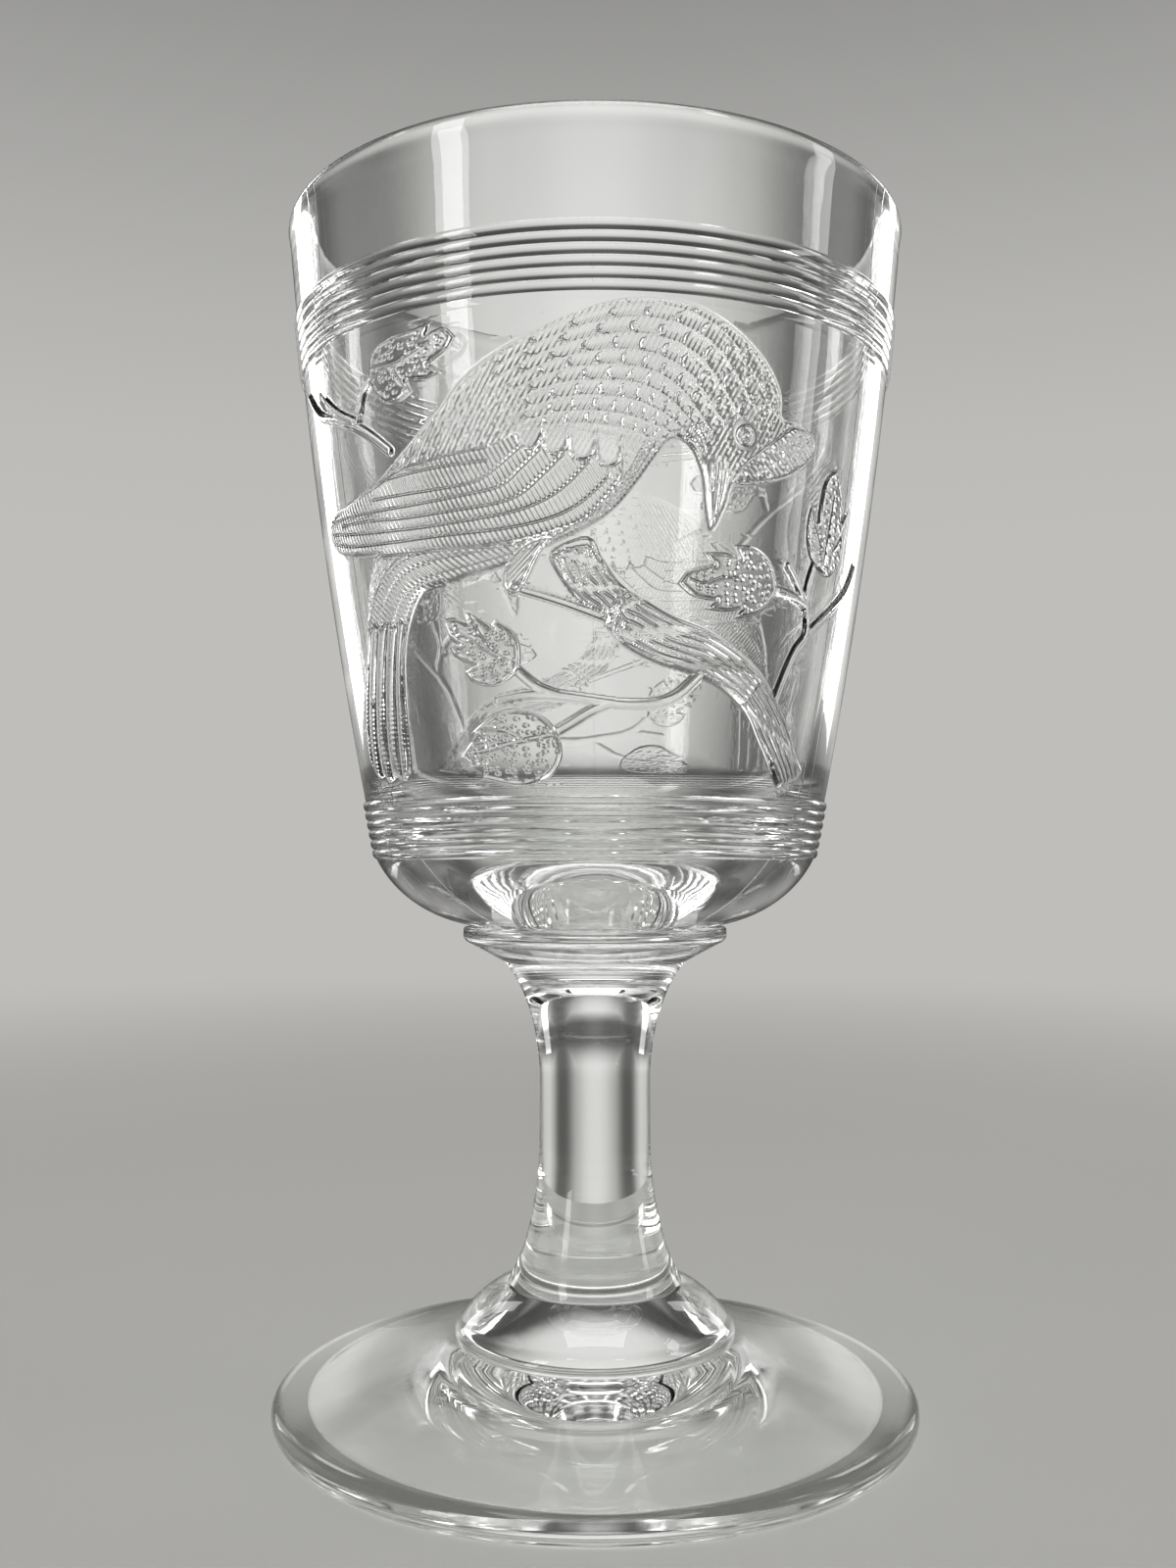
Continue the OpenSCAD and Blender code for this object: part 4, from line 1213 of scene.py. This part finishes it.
# %% [markdown]
# ## Bowl and raised motifs
# The bowl is finished as it was turned. For each motif, its faces are copied from the wall and extruded,
# which gives a closed body: the old faces stay behind on the wall as its fused underside, and the new ones
# are its skin. Only the skin is cut finer with subdivide_edges, because a feather is much narrower than a
# face of the wall, and then lifted by the relief. Round the motif the skin is only a few thousandths of a
# millimetre thick.

# %% Extrude, cut and lift a motif
SKIN_MM, SKIN_MERGE_MM = 0.004, 0.0005
PATTERN_LAYERS = ("stroke", "lines", "barb", "hatch", "stipple")


def motif_body(motif, cuts):
    """A closed body on the motif's part of the wall, with a finely cut skin that still lies on the wall."""
    bm = bowl_mesh.copy()
    others = [face for face in bm.faces if face.index not in faces_of[motif]]
    bmesh.ops.delete(bm, geom=others, context="FACES")
    underside = set(bm.faces)
    skin = bmesh.ops.extrude_face_region(bm, geom=bm.faces[:])["geom"]
    skin = [item for item in skin if isinstance(item, bmesh.types.BMFace)]
    for face in skin:
        face.material_index = GLASS_SLOT
    edges = {edge for face in skin for edge in face.edges}
    edges |= {edge for edge in bm.edges if len(underside.intersection(edge.link_faces)) == 1}
    bmesh.ops.subdivide_edges(bm, edges=list(edges), cuts=cuts, use_grid_fill=True)
    return bm


def lifted_motif(name, motif, node, cuts):
    bm = motif_body(motif, cuts)
    flat = bm.verts.layers.float_vector.new("flat")
    for layer in PATTERN_LAYERS:
        bm.verts.layers.float.new(layer)
    layers = [bm.verts.layers.float[layer] for layer in PATTERN_LAYERS]
    skin_faces = [face for face in bm.faces if face.material_index == GLASS_SLOT]
    skin = list({vertex: 0 for face in skin_faces for vertex in face.verts})
    relief = raised_picture(np.array([vertex.co for vertex in skin]))
    values = np.array([getattr(relief, layer) for layer in PATTERN_LAYERS]).T
    for vertex, spot, height, patterns in zip(skin, relief.spots, relief.height, values):
        vertex[flat] = (*spot * DOT_STRETCH, 0)
        radius = vertex.co.xy.length
        if all(face.material_index == GLASS_SLOT for face in vertex.link_faces):
            radius, height = wall_radius(vertex.co.z / MM) * MM, height + SKIN_MM
        vertex.co.xy = vertex.co.xy.normalized() * (radius + height * MM)
        for layer, value in zip(layers, patterns):
            vertex[layer] = value
    bmesh.ops.remove_doubles(bm, verts=bm.verts, dist=SKIN_MERGE_MM * MM)
    shade_smooth(bm, sharp_joints=True)
    highest, volume = round(float(relief.height.max()), 2), round(bm.calc_volume() / MM**3)
    print("highest of", name, "is", highest, "mm; volume", volume, "mm3")
    finished_piece(bm, name, figured_glass, node)


print("values on each corner:", ", ".join(PATTERN_LAYERS))


# %% Finish the picture and the bowl
lifted_motif("BirdRelief", BIRD, "bird_relief", cuts=4)
lifted_motif("BranchRelief", BRANCH, "branch_relief", cuts=6)
lifted_motif("LeafRelief", LEAF, "leaf_relief", cuts=6)
shade_smooth(bowl_mesh)
finished_piece(bowl_mesh, "Bowl", clear_glass, "bowl")


# %% [markdown]
# ## Floor
# Glass shows what is around it, so the surroundings are part of its looks. A pale board carries the goblet
# and keeps its shadow. Further out the board fades into the colour of the backdrop, so that no hard horizon
# is bent and doubled in the glass.

# %% Floor
BACKDROP = (0.52, 0.515, 0.5, 1)
FLOOR_RADIUS, BOARD_FADES_FROM, BOARD_FADES_TO = 6.0, 0.16, 0.7


def floor_material():
    material, tree = new_surface("pale_floor")
    far = add_node(tree, "ShaderNodeVectorMath", operation="LENGTH")
    board = add_node(tree, "ShaderNodeBsdfDiffuse", Color=BACKDROP)
    glow = add_node(tree, "ShaderNodeEmission", Color=BACKDROP, Strength=1.0)
    mix = add_node(tree, "ShaderNodeMixShader")
    out = add_node(tree, "ShaderNodeOutputMaterial")
    fading = ramp_between(tree, far.outputs["Value"], BOARD_FADES_FROM, BOARD_FADES_TO, 0, 1)
    link_all(tree,
             (add_node(tree, "ShaderNodeTexCoord").outputs["Object"], far.inputs[0]),
             (fading, mix.inputs["Fac"]),
             (board.outputs["BSDF"], mix.inputs[1]),
             (glow.outputs["Emission"], mix.inputs[2]),
             (mix.outputs["Shader"], out.inputs["Surface"]))
    return material


def stage_object(bm, name, material):
    data = bpy.data.meshes.new(name)
    bm.to_mesh(data)
    bm.free()
    data.materials.append(material)
    thing = bpy.data.objects.new(name, data)
    bpy.context.scene.collection.objects.link(thing)
    return thing


floor_mesh = bmesh.new()
bmesh.ops.create_circle(floor_mesh, cap_ends=True, radius=FLOOR_RADIUS, segments=96)
floor = stage_object(floor_mesh, "Floor", floor_material())
print("stage:", floor.name)


# %% [markdown]
# ## World
# A studio for glass is pale at eye level and dark overhead: the pale part fills the clear walls, and the
# dark ceiling draws the rim and the reeds. One blend over the height of the view does that, without any
# picture.

# %% World
CEILING = (0.06, 0.06, 0.058, 1)
PALE_UP_TO, DARK_FROM = 0.18, 0.85
world = bpy.data.worlds.new("studio")
bpy.context.scene.world = world
world.use_nodes = True
sky = world.node_tree
sky.nodes.clear()
direction = add_node(sky, "ShaderNodeSeparateXYZ")
blend = add_node(sky, "ShaderNodeMix", data_type="RGBA")
blend.inputs["A"].default_value = BACKDROP
blend.inputs["B"].default_value = CEILING
background = add_node(sky, "ShaderNodeBackground", Strength=1.0)
sky_out = add_node(sky, "ShaderNodeOutputWorld")
link_all(sky,
         (add_node(sky, "ShaderNodeTexCoord").outputs["Generated"], direction.inputs[0]),
         (ramp_between(sky, direction.outputs["Z"], PALE_UP_TO, DARK_FROM, 0, 1), blend.inputs["Factor"]),
         (blend.outputs["Result"], background.inputs["Color"]),
         (background.outputs["Background"], sky_out.inputs["Surface"]))
print("world:", world.name)


# %% [markdown]
# ## Dark gaps round the goblet
# In even light from all sides clear glass all but vanishes. Photographers stand strips of black card beside
# it, out of the picture, and the glass bends them into dark lines. This cone does the same: soft dark gaps
# stand round the goblet, with a faint glow between them, a low dark ring and a dark top. The camera, the
# floor and the shadows don't see it.

# %% Dark gaps round the goblet
GAP_COUNT, GAP_DARK, GAP_GLOW, GLOW_FROM = 8, 0.75, 0.3, -0.3
SCREEN_LOW_R, SCREEN_TOP_R, SCREEN_H = 0.06, 0.7, 0.8
RING_FADES_IN, RING_FADES_OUT, TOP_FADES_IN = (0.035, 0.055), (0.07, 0.095), (0.32, 0.5)
CARD_DARK, BLACK_CARD = 0.85, (0.01, 0.01, 0.01, 1)


def screen_darkness(tree, level, wave):
    """High in the upright gaps, in the low ring and near the top, and 0 elsewhere."""
    upright = ramp_between(tree, wave, -1, 0, GAP_DARK, 0)
    low_ring = math_node(tree, "MINIMUM", ramp_between(tree, level, *RING_FADES_IN, 0, CARD_DARK),
                         ramp_between(tree, level, *RING_FADES_OUT, CARD_DARK, 0))
    top = ramp_between(tree, level, *TOP_FADES_IN, 0, CARD_DARK)
    return math_node(tree, "MAXIMUM", upright, math_node(tree, "MAXIMUM", low_ring, top))


def screen_material():
    material, tree = new_surface("dark_gaps")
    material.cycles.emission_sampling = "NONE"
    axes = add_node(tree, "ShaderNodeSeparateXYZ")
    x, y, level = axes.outputs
    wave = math_node(tree, "COSINE", product(tree, math_node(tree, "ARCTAN2", x, y), GAP_COUNT))
    dark = add_node(tree, "ShaderNodeBsdfDiffuse", Color=BLACK_CARD)
    clear = add_node(tree, "ShaderNodeBsdfTransparent")
    glow = add_node(tree, "ShaderNodeEmission")
    lit = add_node(tree, "ShaderNodeAddShader")
    mix = add_node(tree, "ShaderNodeMixShader")
    out = add_node(tree, "ShaderNodeOutputMaterial")
    link_all(tree,
             (add_node(tree, "ShaderNodeTexCoord").outputs["Object"], axes.inputs[0]),
             (ramp_between(tree, wave, GLOW_FROM, 1, 0, GAP_GLOW), glow.inputs["Strength"]),
             (clear.outputs["BSDF"], lit.inputs[0]),
             (glow.outputs["Emission"], lit.inputs[1]),
             (screen_darkness(tree, level, wave), mix.inputs["Fac"]),
             (lit.outputs["Shader"], mix.inputs[1]),
             (dark.outputs["BSDF"], mix.inputs[2]),
             (mix.outputs["Shader"], out.inputs["Surface"]))
    return material


screen_mesh = bmesh.new()
bmesh.ops.create_cone(screen_mesh, cap_ends=False, segments=64, radius1=SCREEN_LOW_R, radius2=SCREEN_TOP_R,
                      depth=SCREEN_H)
bmesh.ops.translate(screen_mesh, verts=screen_mesh.verts, vec=(0, 0, SCREEN_H / 2))
screen = stage_object(screen_mesh, "DarkGaps", screen_material())
screen.visible_camera = screen.visible_diffuse = screen.visible_shadow = False
print("stage:", screen.name, "with", GAP_COUNT, "gaps")


# %% [markdown]
# ## Lamps
# Four tall soft panels stand round the goblet and give its walls and stem long upright highlights, and a
# wide panel overhead lights the floor. Each is given by its brightness, because that is what a reflection
# shows: the power follows from it and from the panel's size.

# %% Lamps
TARGET = Vector((0, 0, 0.09))
PANELS = [
    ("LeftStrip", (-0.55, -0.45, 0.35), (0.14, 0.7), 4.5),
    ("RightStrip", (0.66, -0.06, 0.35), (0.11, 0.6), 3.5),
    ("BackLeftStrip", (-0.5, 0.55, 0.35), (0.14, 0.6), 3.5),
    ("BackRightStrip", (0.5, 0.55, 0.35), (0.14, 0.6), 3.5),
    ("TopPanel", (0.0, -0.1, 0.95), (0.6, 0.6), 2.8)]
for name, place, size, brightness in PANELS:
    lamp = bpy.data.lights.new(name, "AREA")
    lamp.shape = "RECTANGLE"
    lamp.size, lamp.size_y = size
    lamp.energy = brightness * math.pi * size[0] * size[1]
    panel = bpy.data.objects.new(name, lamp)
    panel.location = place
    panel.rotation_euler = (TARGET - Vector(place)).to_track_quat("-Z", "Y").to_euler()
    panel.visible_camera = False
    bpy.context.scene.collection.objects.link(panel)
    print("lamp:", name, "with", round(lamp.energy, 2), "W")


# %% [markdown]
# ## Camera
# The photograph was taken close to the goblet, level with the lower band of reeds and tilted up a little,
# which makes the rim and the foot look wide open. A camera fitted to the rings of the rim, the bands, the
# collar, the boss and the foot gives this place, tilt and focal length. Glass bends light many times, so the
# paths get many bounces.

# %% Camera
PHOTO_FOCAL_PX, PHOTO_LONG_SIDE_PX, SENSOR_MM = 1526.8, 1600, 36.0
CAMERA_AT, CAMERA_TILT_UP = (-0.0009, -0.196, 0.0714), 2.57
camera_data = bpy.data.cameras.new("Camera")
camera_data.sensor_width = SENSOR_MM
camera_data.lens = SENSOR_MM * PHOTO_FOCAL_PX / PHOTO_LONG_SIDE_PX
camera_data.clip_start = 0.01
camera = bpy.data.objects.new("Camera", camera_data)
camera.location = CAMERA_AT
camera.rotation_euler = (math.radians(90 + CAMERA_TILT_UP), 0, 0)
scene = bpy.context.scene
scene.collection.objects.link(camera)
scene.camera = camera
scene.view_settings.view_transform = "Standard"
scene.cycles.max_bounces = 32
scene.cycles.transmission_bounces = 32
scene.cycles.glossy_bounces = 12
scene.cycles.transparent_max_bounces = 48
print("camera at", CAMERA_AT, "with a lens of", round(camera_data.lens, 2), "mm")
